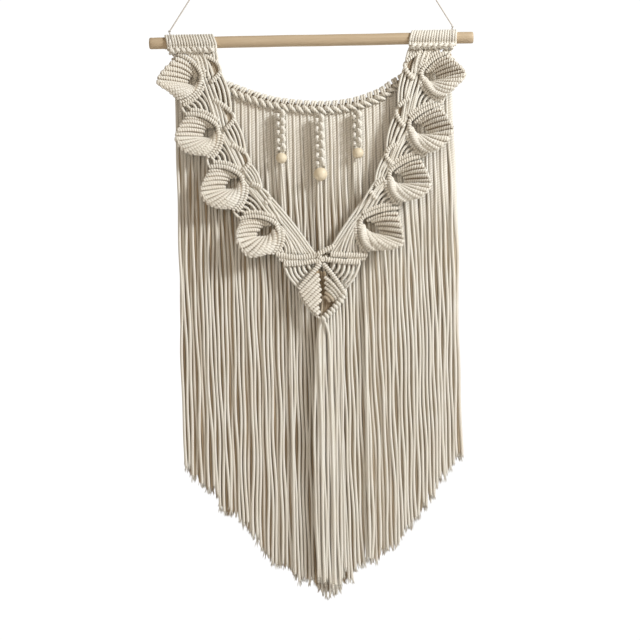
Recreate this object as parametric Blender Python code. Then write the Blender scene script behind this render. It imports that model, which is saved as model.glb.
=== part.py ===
"""Macrame wall hanging on a wooden rod: straps, a V of two openwork arms with
eight curled leaves and a centre leaf, a sagging braid with a back fringe,
three beaded sinnets and a tassel. It hangs from two loops of string.

Tables are in millimetres: x to the right, "down" below the rod's axis. Depth y
grows towards the wall. The origin lies midway between the two string loops.
"""

import math

import bmesh
import bpy
from mathutils import Vector
from mathutils.geometry import tessellate_polygon

MM = 0.001

# Driving sizes, mm
ROD_LENGTH = 475.0
ROD_DIAMETER = 17.0
ROD_DROP = 84.0  # rod axis below the string loops
CORD = 4.0
GAP = 0.4  # left between neighbouring pieces
STRING = 2.0
ARM_THICK = 5.0
LEAF_THICK = 4.0
FRINGE_FRONT, FRINGE_BACK = 2.0, 10.0
FRINGE_TEETH = 75
FRINGE_LEFT, FRINGE_RIGHT = -200.5, 203.5  # at the height of the swag
TOOTH = 4.2
SIDE_BEAD, CENTRE_BEAD, BEAD_BORE = 16.0, 20.0, 4.8

# Straps: left edge, right edge, where the string passes
STRAPS = {
    "strap_left": (-215.0, -143.6, -207.07),
    "strap_right": (147.5, 213.9, 206.52),
}
LARKS_HEADS = 9

# The swag's centreline: x, down
SWAG = [
    (-203, 24), (-165, 48), (-121, 69), (-62, 90), (3, 98.7),
    (55, 96), (100, 82), (122, 68), (165, 44), (206, 24),
]
SWAG_HEIGHT, SWAG_DEPTH, SWAG_PITCH = 18.0, 9.0, 10.7

# The lower outline of the back fringe: x, down
TIPS = [
    (-198, 622), (-172, 654), (-149, 680), (-122, 705), (-89, 740),
    (-63, 772), (-33, 792), (3, 814), (26, 811), (51, 777),
    (87, 756), (116, 740), (145, 703), (174, 658), (205, 617),
]

# Leaves: apex, upper corner, tip, low corner, base corner, far end of the hole
LEAVES = {
    "leaf_left_1": ((-163, 53), (-198, 21), (-227, 56), (-212, 72), (-196, 86), (-182, 61)),
    "leaf_left_2": ((-141, 127), (-187, 110), (-202, 140), (-189, 162), (-158, 168), (-161, 140)),
    "leaf_left_3": ((-107, 201), (-154, 188), (-167, 221), (-152, 242), (-122, 247), (-130, 216)),
    "leaf_left_4": ((-58, 271), (-110, 264), (-116, 290), (-99, 316), (-66, 312), (-86, 286)),
    "leaf_right_1": ((158, 49), (199, 26), (225, 54), (211, 74), (196, 87), (185, 62)),
    "leaf_right_2": ((143, 125), (188, 102), (206, 136), (187, 163), (169, 169), (168, 143)),
    "leaf_right_3": ((113, 198), (158, 178), (172, 214), (158, 233), (131, 240), (133, 213)),
    "leaf_right_4": ((70, 266), (123, 253), (131, 296), (118, 308), (83, 310), (96, 287)),
}
HOLE_HALF = 4.2

# Inner edges of the arms, from the strap to the foot of the V: x, down
INNER = {
    "arm_left": [
        (-143, 18.5), (-137, 27), (-130.5, 44), (-126, 61), (-119, 80), (-116, 103),
        (-105, 133), (-95, 170), (-80, 200), (-66, 226), (-50, 248), (-36, 265), (0, 309.5),
    ],
    "arm_right": [
        (148, 18.5), (142, 27), (134, 44), (129, 61), (124, 82), (122, 104),
        (113, 135), (104, 167), (94, 198), (83, 225), (68, 247), (54, 266), (17, 308.5),
    ],
}
OUTER_TOP = {"arm_left": (-197, 18.5), "arm_right": (198, 18.5)}
FOOT = {"arm_left": (-60.5, 303.5), "arm_right": (80, 310)}
# Small gaps in the net beside the inner edges: x, down, half length
EYES = {
    "arm_left": [(-149, 38, 7), (-125.5, 104, 8), (-103.5, 169, 7), (-75.5, 224, 7)],
    "arm_right": [(152, 38, 7), (131, 104, 8), (113, 169, 7), (92.5, 224, 7)],
}
EYE_HALF_WIDTH = 2.6

# Sinnets: x, top, bead centre, bead size, tail's x at its end, tail's end
SINNETS = {
    "left": (-46.8, 101.5, 172.1, SIDE_BEAD, -38.0, 782),
    "centre": (10.0, 109.5, 196.8, CENTRE_BEAD, 13.0, 788),
    "right": (65.4, 105.0, 166.8, SIDE_BEAD, 72.0, 760),
}
TAIL = 3.8
TAIL_Y = -1.2
TAIL_STEPS = 26


def sinnet_y(size):
    """Depth of a sinnet's axis: its bead just clears the fringe."""
    return FRINGE_FRONT - 0.5 - size / 2


COTTON = (0.80, 0.74, 0.65)
WOOD = (0.72, 0.56, 0.36)
BEAD_WOOD = (0.82, 0.68, 0.45)
STRING_WHITE = (0.78, 0.77, 0.74)


def place(x, y, down):
    return Vector((x * MM, y * MM, -(ROD_DROP + down) * MM))


def along(table, x):
    """The table's second column at x, on straight lines between its rows."""
    if x <= table[0][0]:
        return table[0][1]
    for (x0, d0), (x1, d1) in zip(table, table[1:]):
        if x <= x1:
            return d0 + (d1 - d0) * (x - x0) / (x1 - x0)
    return table[-1][1]


def smooth_line(points, steps):
    """Points on a smooth curve through the given ones."""
    line = []
    for i in range(len(points) - 1):
        a, b = points[max(i - 1, 0)], points[i]
        c, d = points[i + 1], points[min(i + 2, len(points) - 1)]
        for k in range(steps):
            t = k / steps
            line.append(
                tuple(
                    0.5
                    * (
                        2 * b[n]
                        + (c[n] - a[n]) * t
                        + (2 * a[n] - 5 * b[n] + 4 * c[n] - d[n]) * t * t
                        + (3 * b[n] - a[n] - 3 * c[n] + d[n]) * t**3
                    )
                    for n in range(len(b))
                )
            )
    line.append(tuple(points[-1]))
    return line


def mix(a, b, t):
    return tuple(p + (q - p) * t for p, q in zip(a, b))


def unit(v):
    size = math.hypot(*v)
    return (v[0] / size, v[1] / size)


def material(name, colour, roughness):
    mat = bpy.data.materials.new(name)
    mat.use_nodes = True
    shader = mat.node_tree.nodes["Principled BSDF"]
    shader.inputs["Base Color"].default_value = (*colour, 1.0)
    shader.inputs["Roughness"].default_value = roughness
    shader.inputs["Metallic"].default_value = 0.0
    return mat


def add(name, points, faces, colour, roughness=0.9, smooth=False):
    mesh = bpy.data.meshes.new(name)
    mesh.from_pydata([tuple(p) for p in points], [], faces)
    bm = bmesh.new()
    bm.from_mesh(mesh)
    bmesh.ops.recalc_face_normals(bm, faces=bm.faces)
    bm.to_mesh(mesh)
    bm.free()
    mesh.materials.append(material(name + "_finish", colour, roughness))
    ob = bpy.data.objects.new(name, mesh)
    bpy.context.scene.collection.objects.link(ob)
    if smooth:
        mesh.shade_smooth()
        mesh.set_sharp_from_angle(angle=math.radians(50))
    return ob


def arm_front(down):
    """Depth of the net's front: it leaves the rod and swings a little forward."""
    return -15.0 + 5.0 * math.exp(-(down - 18.0) / 50.0)


def plate(name, outline, holes, front, thick, colour=COTTON):
    """A flat net cut from an outline with holes, its depth given by front(down)."""
    loops = [outline] + holes
    flat = [p for loop in loops for p in loop]
    triangles = tessellate_polygon([[Vector((x, d, 0)) for x, d in loop] for loop in loops])
    n = len(flat)
    points = [place(x, front(d), d) for x, d in flat]
    points += [place(x, front(d) + thick, d) for x, d in flat]
    faces = []
    for a, b, c in triangles:
        faces += [(a, b, c), (n + c, n + b, n + a)]
    start = 0
    for loop in loops:
        for i in range(len(loop)):
            a, b = start + i, start + (i + 1) % len(loop)
            faces.append((a, b, n + b, n + a))
        start += len(loop)
    return add(name, points, faces, colour)


def rings(name, rows, closed, colour, roughness=0.9, smooth=True, extra=None):
    """A skin over rows of points, each a closed ring; capped at the ends unless closed."""
    m = len(rows[0])
    points = [p for row in rows for p in row]
    faces = []
    count = len(rows)
    for i in range(count if closed else count - 1):
        for k in range(m):
            a, b = i * m + k, i * m + (k + 1) % m
            c = ((i + 1) % count) * m
            faces.append((a, b, c + (k + 1) % m, c + k))
    if not closed:
        faces.append(tuple(range(m)))
        faces.append(tuple((count - 1) * m + k for k in range(m)))
    return add(name, points, faces, colour, roughness, smooth)


def make_rod():
    rows = []
    half, r = ROD_LENGTH / 2, ROD_DIAMETER / 2
    for x, radius in ((-half, r - 1.4), (-half + 1.5, r), (half - 1.5, r), (half, r - 1.4)):
        rows.append(
            [
                place(x, radius * math.cos(2 * math.pi * k / 24), radius * math.sin(2 * math.pi * k / 24))
                for k in range(24)
            ]
        )
    rings("rod", rows, False, WOOD, 0.55)


def strap_radius(angle, valley):
    """Outside of the looped cords round the rod; the knot row stands out below."""
    base = ROD_DIAMETER / 2 + (1.7 if valley else 3.5)
    off = (math.degrees(angle) - 172.0) / 27.0
    return base + 5.0 * math.exp(-off * off)


def make_strap(name):
    left, right, _ = STRAPS[name]
    sides = 20
    pitch = (right - left) / LARKS_HEADS
    points, faces = [], []
    sections = 2 * LARKS_HEADS + 1
    angles = [2 * math.pi * k / sides for k in range(sides)]
    for i in range(sections):
        x = left + i * pitch / 2
        edge = 0.4 if i in (0, sections - 1) else 0.0
        for a in angles:
            r = strap_radius(a, i % 2 == 0) - edge
            points.append(place(x, -r * math.sin(a), -r * math.cos(a)))
    bore = ROD_DIAMETER / 2 + GAP
    for x in (left, right):
        for a in angles:
            points.append(place(x, -bore * math.sin(a), -bore * math.cos(a)))
    inner = sections * sides
    for k in range(sides):
        n = (k + 1) % sides
        for i in range(sections - 1):
            faces.append((i * sides + k, i * sides + n, (i + 1) * sides + n, (i + 1) * sides + k))
        last = (sections - 1) * sides
        faces.append((inner + n, inner + k, inner + sides + k, inner + sides + n))
        faces.append((k, inner + k, inner + n, n))
        faces.append((last + n, inner + sides + n, inner + sides + k, last + k))
    add(name, points, faces, COTTON, smooth=True)


def away(p, q, far, distance):
    """The offset of segment p-q by a distance, on the side away from far."""
    d = unit((q[0] - p[0], q[1] - p[1]))
    n = (-d[1], d[0])
    if (far[0] - p[0]) * n[0] + (far[1] - p[1]) * n[1] > 0:
        n = (-n[0], -n[1])
    return (n[0] * distance, n[1] * distance)


def shifted(p, v):
    return (p[0] + v[0], p[1] + v[1])


def wedge(leaf, distance):
    """The leaf's base corner, apex and upper corner, moved out of the leaf."""
    apex, upper, tip, _, base, _ = leaf
    low, high = away(base, apex, tip, distance), away(apex, upper, tip, distance)
    out = unit((apex[0] - tip[0], apex[1] - tip[1]))
    return [
        shifted(base, low),
        shifted(apex, (out[0] * distance * 1.5, out[1] * distance * 1.5)),
        shifted(upper, high),
    ]


def fan_slots(apex, base, end_out, end_in, centre, margin=7.0, count=3, width=2.4, bow=4.0):
    """Curved gaps between the loose strands that run from the row under one leaf
    (apex to base) to the next row (end_out to end_in)."""
    slots = []
    for k in range(count):
        f = 0.22 + 0.30 * k
        start = mix(base, apex, f)
        end = mix(end_out, end_in, f * 0.95)
        d = unit((end[0] - start[0], end[1] - start[1]))
        length = math.hypot(end[0] - start[0], end[1] - start[1])
        if length < 2 * margin + 3:
            trim = max(0.0, (length - 4.0) / 2)
        else:
            trim = margin
        a = shifted(start, (d[0] * trim, d[1] * trim))
        b = shifted(end, (-d[0] * trim, -d[1] * trim))
        n = (-d[1], d[0])
        if (centre[0] - a[0]) * n[0] + (centre[1] - a[1]) * n[1] < 0:
            n = (-n[0], -n[1])
        line = []
        for i in range(4):
            t = i / 3
            lift = bow * math.sin(math.pi * t)
            p = mix(a, b, t)
            line.append(shifted(p, (n[0] * lift, n[1] * lift)))
        near = [shifted(p, (-n[0] * width / 2, -n[1] * width / 2)) for p in line]
        far = [shifted(p, (n[0] * width / 2, n[1] * width / 2)) for p in line]
        slots.append(near + far[::-1])
    return slots


def make_arm(name):
    side = name.split("_")[1]
    leaves = [LEAVES[f"leaf_{side}_{k}"] for k in (1, 2, 3, 4)]
    outline = list(INNER[name])
    outline.append(FOOT[name])
    for leaf in reversed(leaves):
        outline += wedge(leaf, 0.7)
    outline.append(OUTER_TOP[name])
    holes = []
    for n in range(3):
        upper, lower = leaves[n], leaves[n + 1]
        centre = mix(upper[0], lower[0], 0.5)
        holes += fan_slots(upper[0], upper[4], lower[1], lower[0], centre)
    last = leaves[3]
    holes += fan_slots(last[0], last[4], FOOT[name], INNER[name][-1], INNER[name][-2])
    for x, down, half in EYES[name]:
        lean = 0.45 if side == "left" else -0.45
        c, s = math.cos(lean), math.sin(lean)
        holes.append(
            [
                (x + u * c + v * s, down - u * s + v * c)
                for u, v in (
                    (0, -half),
                    (EYE_HALF_WIDTH, 0),
                    (0, half),
                    (-EYE_HALF_WIDTH, 0),
                )
            ]
        )
    plate(name, outline, holes, arm_front, ARM_THICK)


def leaf_rim(leaf, phi, half=HOLE_HALF):
    apex, upper, _, _, _, hole = leaf
    d = unit((hole[0] - apex[0], hole[1] - apex[1]))
    n = (-d[1], d[0])
    if (upper[0] - apex[0]) * n[0] + (upper[1] - apex[1]) * n[1] < 0:
        n = (-n[0], -n[1])
    if phi <= 0.5:
        t, sign = phi / 0.5, 1.0
    else:
        t, sign = (1 - phi) / 0.5, -1.0
    p = mix(shifted(apex, (d[0] * 1.5, d[1] * 1.5)), hole, t)
    lift = sign * (half * math.sin(math.pi * t) ** 0.8 + 0.5 * (1 - t))
    return shifted(p, (n[0] * lift, n[1] * lift))


def leaf_edge(leaf, phi):
    _, upper, tip, low, base, _ = leaf
    line = smooth_line([upper, tip, low, base], 8)
    t = phi / 0.5 * 8 if phi <= 0.5 else 8 + (phi - 0.5) / 0.5 * 16
    i = min(int(t), len(line) - 2)
    return mix(line[i], line[i + 1], t - i)


def leaf_depth(phi, r, base_y):
    """Depth of the leaf's front: a cup that is deep at the hole, with its outer
    edge and its rolled lower side standing forward."""
    rise = 3.0 + 13.0 * math.sin(math.pi * min(1.0, max(0.0, phi * 0.9)) ** 0.9) ** 1.2
    sink = 5.0 * (1 - r) ** 1.6 * math.sin(math.pi * min(phi, 1 - phi) ** 0.5)
    roll = 0.0
    if phi > 0.5:
        roll = 9.0 * math.sin(math.pi * (phi - 0.5) / 0.5 * 0.85) * math.sin(math.pi * r**0.8)
    return base_y + sink - rise * r**1.1 - roll


def make_leaf(name, leaf, depth, across=14, out=4, half=HOLE_HALF):
    base_y = arm_front(leaf[0][1]) + 0.5
    front, back = [], []
    for i in range(across + 1):
        phi = i / across
        a, b = leaf_rim(leaf, phi, half), leaf_edge(leaf, phi)
        for j in range(out + 1):
            r = j / out
            x, down = mix(a, b, r)
            y = depth(phi, r, base_y)
            front.append(place(x, y, down))
            back.append(place(x, y + LEAF_THICK, down))
    solid_strip(name, front, back, across + 1, out + 1)


def solid_strip(name, front, back, rows, columns):
    n = rows * columns
    faces = []
    for i in range(rows - 1):
        for j in range(columns - 1):
            a = i * columns + j
            q = (a, a + 1, a + columns + 1, a + columns)
            faces += [q[:3], (q[0], q[2], q[3])]
            b = tuple(n + k for k in q)
            faces += [(b[2], b[1], b[0]), (b[3], b[2], b[0])]
    loop = [j for j in range(columns)]
    loop += [i * columns + columns - 1 for i in range(1, rows)]
    loop += [(rows - 1) * columns + j for j in range(columns - 2, -1, -1)]
    loop += [i * columns for i in range(rows - 2, 0, -1)]
    for k in range(len(loop)):
        a, b = loop[k], loop[(k + 1) % len(loop)]
        faces.append((a, b, n + b, n + a))
    add(name, front + back, faces, COTTON, smooth=True)


# Centre leaf: left half from the slit to the left edge, right half likewise.
# Columns: down on the slit, slit x left, left edge x and down; rows top to bottom.
CENTRE_TOP = (8.6, 327.0)
CENTRE_LEFT, CENTRE_RIGHT = (-28.0, 361.0), (43.0, 366.0)
CENTRE_BOTTOM = (7.5, 411.0)
# The opening: its outline as fractions round from the top, x and down
CENTRE_RIM = [
    (9.8, 331.0), (12.5, 345.0), (14.5, 360.0), (17.0, 372.0), (29.0, 380.0), (20.0, 392.0), (9.0, 403.0),
    (6.0, 396.0), (7.0, 384.0), (9.5, 374.0), (9.5, 360.0), (8.7, 345.0), (8.0, 331.0),
]


def make_leaf_centre():
    outer = [
        (11.0, 329.5), (21.5, 341.0), (32.0, 353.0), (43.0, 366.0), (36.0, 379.0), (22.0, 397.0), (7.5, 411.0),
        (-5.0, 398.0), (-15.0, 384.0), (-23.0, 371.0), (-28.0, 361.0), (-10.0, 345.0), (6.2, 329.5),
    ]
    base_y = arm_front(360) - 1.0
    front, back = [], []
    count = len(outer)
    for i, (a, b) in enumerate(zip(CENTRE_RIM, outer)):
        for j in range(4):
            r = j / 3
            x, down = mix(a, b, r)
            lift = 5.0 * math.sin(math.pi * r * 0.8) if i > count // 2 else 2.0 * r
            front.append(place(x, base_y - lift, down))
            back.append(place(x, base_y - lift + LEAF_THICK, down))
    solid_strip("leaf_centre", front, back, count, 4)


def make_junction():
    outline = [
        (-59.3, 305.0), (-0.5, 311.0), (8.0, 315.5), (17.5, 310.0), (81.0, 311.5), (82.0, 318.0), (69.0, 328.0),
        (51.0, 363.5), (44.8, 366.0), (43.0, 363.5), (33.0, 351.5), (22.3, 339.5), (11.6, 327.6), (8.6, 325.0),
        (5.4, 327.6), (-10.6, 343.2), (-28.3, 358.8), (-30.5, 361.5), (-53.0, 325.0), (-62.3, 314.5),
    ]
    holes = []
    for k in range(3):
        f = 0.22 + 0.22 * k
        for start, end, side in (
            (mix((-50.0, 324.5), (4.0, 325.5), f), mix((-27.0, 355.0), (6.0, 327.0), f), -1),
            (mix((66.0, 329.5), (14.0, 327.5), f), mix((42.0, 358.0), (12.0, 328.5), f), 1),
        ):
            d = unit((end[0] - start[0], end[1] - start[1]))
            length = math.hypot(end[0] - start[0], end[1] - start[1])
            a = shifted(start, (d[0] * 1.0, d[1] * 1.0))
            b = shifted(end, (-d[0] * 3.0, -d[1] * 3.0))
            n = (d[1], -d[0]) if side < 0 else (-d[1], d[0])
            if length < 8:
                continue
            line = [shifted(mix(a, b, t), (n[0] * -2.0 * math.sin(math.pi * t), n[1] * -2.0 * math.sin(math.pi * t))) for t in (0, 0.5, 1)]
            near = [shifted(p, (-n[0] * 1.0, -n[1] * 1.0)) for p in line]
            far = [shifted(p, (n[0] * 1.0, n[1] * 1.0)) for p in line]
            holes.append(near + far[::-1])
    plate("junction", outline, holes, lambda down: arm_front(down) - 0.5, ARM_THICK)


def make_swag():
    line = smooth_line([(float(x), float(d)) for x, d in SWAG], 24)
    run = [0.0]
    for p, q in zip(line, line[1:]):
        run.append(run[-1] + math.hypot(q[0] - p[0], q[1] - p[1]))
    total = run[-1]
    count = 2 * round(total / SWAG_PITCH)
    rows = []
    middle = (FRINGE_FRONT + FRINGE_BACK) / 2 - 0.5
    for i in range(count + 1):
        s = total * i / count
        k = max(j for j in range(len(run)) if run[j] <= s + 1e-9)
        k = min(k, len(line) - 2)
        t = (s - run[k]) / (run[k + 1] - run[k])
        x, down = mix(line[k], line[k + 1], t)
        d = unit((line[k + 1][0] - line[k][0], line[k + 1][1] - line[k][1]))
        swell = 1.0 if i % 2 else 0.9
        row = []
        for m in range(8):
            a = 2 * math.pi * (m + 0.5) / 8
            u = SWAG_HEIGHT / 2 * swell * math.sin(a)
            v = SWAG_DEPTH / 2 * swell * math.cos(a)
            row.append(place(x + d[1] * u, middle + v, down - d[0] * u))
        rows.append(row)
    rings("swag_braid", rows, False, COTTON)


def comb(name, teeth, front, back):
    """Teeth joined by a header. A tooth is rows of (left x, right x, down), from the
    header's top to the tip; the second row is the header's lower edge."""
    points, index = [], {}
    for i, tooth in enumerate(teeth):
        for j, (x0, x1, down) in enumerate(tooth):
            for side, x in enumerate((x0, x1)):
                for layer, y in enumerate((front, back)):
                    index[i, j, side, layer] = len(points)
                    points.append(place(x, y, down))
    faces = []
    levels = len(teeth[0])

    def quad(a, b, c, d, layer):
        f = [index[(*v, layer)] for v in (a, b, c, d)]
        faces.append(tuple(f) if layer == 0 else tuple(reversed(f)))

    def wall(a, b):
        faces.append((index[(*a, 0)], index[(*b, 0)], index[(*b, 1)], index[(*a, 1)]))

    for i in range(len(teeth)):
        for layer in (0, 1):
            for j in range(levels - 1):
                quad((i, j, 0), (i, j + 1, 0), (i, j + 1, 1), (i, j, 1), layer)
            if i + 1 < len(teeth):
                quad((i, 0, 1), (i, 1, 1), (i + 1, 1, 0), (i + 1, 0, 0), layer)
        wall((i, 0, 1), (i, 0, 0))
        wall((i, levels - 1, 0), (i, levels - 1, 1))
        for j in range(1, levels - 1):
            wall((i, j, 0), (i, j + 1, 0))
            wall((i, j + 1, 1), (i, j, 1))
        if i + 1 < len(teeth):
            wall((i + 1, 0, 0), (i, 0, 1))
            wall((i, 1, 1), (i + 1, 1, 0))
    wall((0, 0, 0), (0, 1, 0))
    wall((len(teeth) - 1, 1, 1), (len(teeth) - 1, 0, 1))
    add(name, points, faces, COTTON)


def make_fringe():
    teeth = []
    line = smooth_line([(float(x), float(d)) for x, d in SWAG], 24)
    pitch = (FRINGE_RIGHT - FRINGE_LEFT - TOOTH) / (FRINGE_TEETH - 1)

    def under_swag(x):
        """The swag's lower edge, square to its slope, and a gap."""
        d = along(line, x)
        slope = (along(line, x + 3) - along(line, x - 3)) / 6
        return d + SWAG_HEIGHT / 2 * math.hypot(1, slope) + 0.9

    for i in range(FRINGE_TEETH):
        x0 = FRINGE_LEFT + i * pitch
        x1 = x0 + TOOTH
        top = max(under_swag(x0 - 0.6), under_swag(x1 + 0.6), under_swag((x0 + x1) / 2))
        middle = (x0 + x1) / 2
        lean = 0.0115 + 0.0037 * middle / 200
        tip = along(TIPS, middle + lean * 600) + 4.0 * math.sin(2.3 * i) - 2.0
        shift = lean * (tip - 100)
        teeth.append([(x0, x1, top), (x0, x1, top + 4.0), (x0 + shift, x1 + shift, tip)])
    # The header's top edge steps with the swag, so neighbours share their heights
    comb("back_fringe", teeth, FRINGE_FRONT, FRINGE_BACK)


def make_tassel():
    teeth = []
    count = 7
    for i in range(count):
        f0, f1 = i / count, (i + 0.8) / count

        def row(left, right, down):
            return (left + (right - left) * f0, left + (right - left) * f1, down)

        tip = 806 - 5.0 * abs(i - 3) + 4.0 * math.sin(1.9 * i)
        head = 413.0 + 1.6 * i
        teeth.append(
            [row(1.0, 17.0, head), row(0.0, 33.0, head + 13.0), row(-6.0, 37.0, 600.0), row(-7.0, 35.0, tip)]
        )
    comb("tassel", teeth, -13.0, -5.0)


def make_sinnet(side):
    x, top, bead, size, end_x, end = SINNETS[side]
    rows = []
    body_end = bead - size / 2 - 0.6
    turns = (body_end - top) / 22.0
    count = max(8, round((body_end - top) / 5.5))

    axis_y = sinnet_y(size)

    def ring(cx, down, wide, thin, twist, cy=axis_y):
        row = []
        for m in range(8):
            a = 2 * math.pi * m / 8
            u, v = wide * math.cos(a), thin * math.sin(a)
            row.append(
                place(
                    cx + u * math.cos(twist) - v * math.sin(twist),
                    cy + u * math.sin(twist) + v * math.cos(twist),
                    down,
                )
            )
        return row

    for i in range(count + 1):
        t = i / count
        swell = 0.75 if i in (0, count) else 1.0
        rows.append(ring(x, top + (body_end - top) * t, 5.2 * swell, 3.8 * swell, 2 * math.pi * turns * t / 2))
    rings(f"sinnet_{side}", rows, False, COTTON)

    # one cord goes on from the sinnet, through the bead and down the fringe
    start, below = body_end + GAP, bead + size / 2 + 1.0
    route = [(x, axis_y, start), (x, axis_y, bead), (x, axis_y, below)]
    for k in range(1, TAIL_STEPS + 1):
        t = k / TAIL_STEPS
        sway = (end_x - x) * (1 - (1 - min(1.0, t / 0.45)) ** 2)
        route.append((x + sway, axis_y + (TAIL_Y - axis_y) * min(1.0, t / 0.3), below + (end - below) * t))
    tube(f"tail_{side}", [place(*p) for p in route], [1.0] * len(route), TAIL / 2 * MM, COTTON)


def make_bead(side):
    x, _, centre, size, _, _ = SINNETS[side]
    bore, r = BEAD_BORE / 2, size / 2
    half = math.sqrt(r * r - bore * bore)
    start = math.atan2(half, bore)
    profile = []
    steps = 8
    for k in range(steps + 1):
        a = start - 2 * start * k / steps
        profile.append((r * math.cos(a), -r * math.sin(a)))
    points, faces = [], []
    sides = 18
    m = len(profile)
    for k in range(sides):
        a = 2 * math.pi * k / sides
        for radius, down in profile:
            points.append(place(x + radius * math.cos(a), sinnet_y(size) + radius * math.sin(a), centre + down))
    for k in range(sides):
        n = (k + 1) % sides
        for j in range(m):
            i = (j + 1) % m
            faces.append((k * m + j, k * m + i, n * m + i, n * m + j))
    add(f"bead_{side}", points, faces, BEAD_WOOD, 0.5, smooth=True)


# String legs: side, x at the rod, knot above the rod, top end of the leg
STRINGS = {
    "left": (STRAPS["strap_left"][2], (-207.6, -17.0), (-169.3, -75.0)),
    "right": (STRAPS["strap_right"][2], (207.6, -17.0), (172.4, -75.5)),
}
LOOP_RADIUS = 4.0


def tube(name, points, radii, radius, colour, cyclic=False):
    curve = bpy.data.curves.new(name, "CURVE")
    curve.dimensions = "3D"
    curve.bevel_depth = radius
    curve.bevel_resolution = 2
    curve.use_fill_caps = not cyclic
    spline = curve.splines.new("POLY")
    spline.points.add(len(points) - 1)
    for p, co, r in zip(spline.points, points, radii):
        p.co = (*co, 1.0)
        p.radius = r
    spline.use_cyclic_u = cyclic
    curve.materials.append(material(name + "_finish", colour, 0.8))
    ob = bpy.data.objects.new(name, curve)
    bpy.context.scene.collection.objects.link(ob)
    return ob


def make_string(side):
    x, knot, end = STRINGS[side]
    route = []
    for degrees in range(30, 331, 12):
        a = math.radians(degrees)
        r = strap_radius(a, True) + STRING / 2 + GAP + 0.3
        route.append((x, -r * math.sin(a), -r * math.cos(a)))
    route.append((x, 3.2, -12.6))
    route.append((x + (knot[0] - x) * 0.6, 1.2, -14.6))
    route.append((knot[0], 0.4, knot[1]))
    for t in (0.08, 0.25, 0.5, 0.75, 1.0):
        p = mix(knot, end, t)
        route.append((p[0], 0.4 * (1 - t), p[1]))
    radii = [1.0] * len(route)
    radii[-6] = 1.7
    radii[-5] = 1.0
    tube(f"string_{side}", [place(*p) for p in route], radii, STRING / 2 * MM, STRING_WHITE)

    d = unit((end[0] - knot[0], end[1] - knot[1]))
    centre = (end[0] + d[0] * (LOOP_RADIUS + 2.6 + GAP), end[1] + d[1] * (LOOP_RADIUS + 2.6 + GAP))
    ring, radii = [], []
    for k in range(16):
        a = 2 * math.pi * k / 16
        # the knot lies where the leg meets the loop
        u, v = -math.cos(a) * LOOP_RADIUS, math.sin(a) * LOOP_RADIUS * 0.8
        ring.append(place(centre[0] + d[0] * u - d[1] * v, 0.0, centre[1] + d[1] * u + d[0] * v))
        radii.append(1.0 + 1.0 * max(0.0, math.cos(a)) ** 4)
    tube(f"loop_{side}", ring, radii, STRING / 2 * MM, STRING_WHITE, cyclic=True)


def main():
    for ob in list(bpy.data.objects):
        bpy.data.objects.remove(ob, do_unlink=True)
    make_rod()
    for name in STRAPS:
        make_strap(name)
    for name in INNER:
        make_arm(name)
    for name, leaf in LEAVES.items():
        make_leaf(name, leaf, leaf_depth)
    make_leaf_centre()
    make_junction()
    make_swag()
    make_fringe()
    make_tassel()
    for side in SINNETS:
        make_sinnet(side)
        make_bead(side)
    for side in STRINGS:
        make_string(side)


main()
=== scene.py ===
import math

import bpy
import numpy as np
from mathutils import Matrix

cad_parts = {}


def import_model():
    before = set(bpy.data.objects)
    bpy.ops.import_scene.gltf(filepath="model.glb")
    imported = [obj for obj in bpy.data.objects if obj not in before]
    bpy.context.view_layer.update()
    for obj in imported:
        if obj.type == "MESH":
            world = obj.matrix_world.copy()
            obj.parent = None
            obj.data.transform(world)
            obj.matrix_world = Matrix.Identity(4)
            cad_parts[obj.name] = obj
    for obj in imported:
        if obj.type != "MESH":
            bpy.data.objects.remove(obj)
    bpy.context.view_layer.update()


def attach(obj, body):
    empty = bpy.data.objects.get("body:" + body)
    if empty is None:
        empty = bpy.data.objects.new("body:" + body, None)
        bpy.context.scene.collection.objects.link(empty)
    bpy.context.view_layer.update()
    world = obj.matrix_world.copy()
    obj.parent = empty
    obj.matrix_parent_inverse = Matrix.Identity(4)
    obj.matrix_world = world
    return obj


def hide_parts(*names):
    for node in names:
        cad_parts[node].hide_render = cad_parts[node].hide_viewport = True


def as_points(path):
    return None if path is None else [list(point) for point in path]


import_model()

MM = 0.001
ROD_DROP = 84.0
rng = np.random.default_rng(7)

# ---------------------------------------------------------------- camera

ROLL = math.radians(1.06)
DISTANCE = 2.6
WIDTH_SEEN = 0.9382
cam_data = bpy.data.cameras.new("camera")
cam_data.sensor_width = 36.0
cam_data.lens = 36.0 * DISTANCE / WIDTH_SEEN
cam_data.clip_start, cam_data.clip_end = 0.05, 30.0
camera = bpy.data.objects.new("camera", cam_data)
bpy.context.scene.collection.objects.link(camera)
c, s = math.cos(ROLL), math.sin(ROLL)
camera.matrix_world = Matrix(
    ((c, s, 0.0, 0.0052), (0.0, 0.0, -1.0, -DISTANCE), (-s, c, 0.0, -0.4939), (0, 0, 0, 1))
)
bpy.context.scene.camera = camera

# ---------------------------------------------------------------- sizes, in mm: x, down below the rod's axis

ROD_LENGTH, ROD_RADIUS = 475.0, 8.5
STRAPS = {
    "left": (-215.0, -143.6, -207.07),
    "right": (147.5, 213.9, 206.52),
}
SWAG = [
    (-203, 24), (-165, 48), (-121, 69), (-62, 90), (3, 98.7),
    (55, 96), (100, 82), (122, 68), (165, 44), (206, 24),
]
TIPS = [
    (-198, 622), (-184, 637), (-172, 654), (-156, 662), (-149, 680), (-143, 690), (-127, 693), (-119, 706), (-103, 719),
    (-89, 740), (-82, 754), (-63, 772), (-47, 775), (-33, 795), (-11, 795), (3, 815), (26, 811), (33, 794),
    (45, 792), (51, 776), (70, 769), (81, 769), (87, 755), (103, 748), (116, 740), (121, 724), (133, 717),
    (145, 703), (152, 691), (167, 675), (174, 656), (187, 643), (197, 633), (205, 616),
]
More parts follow.
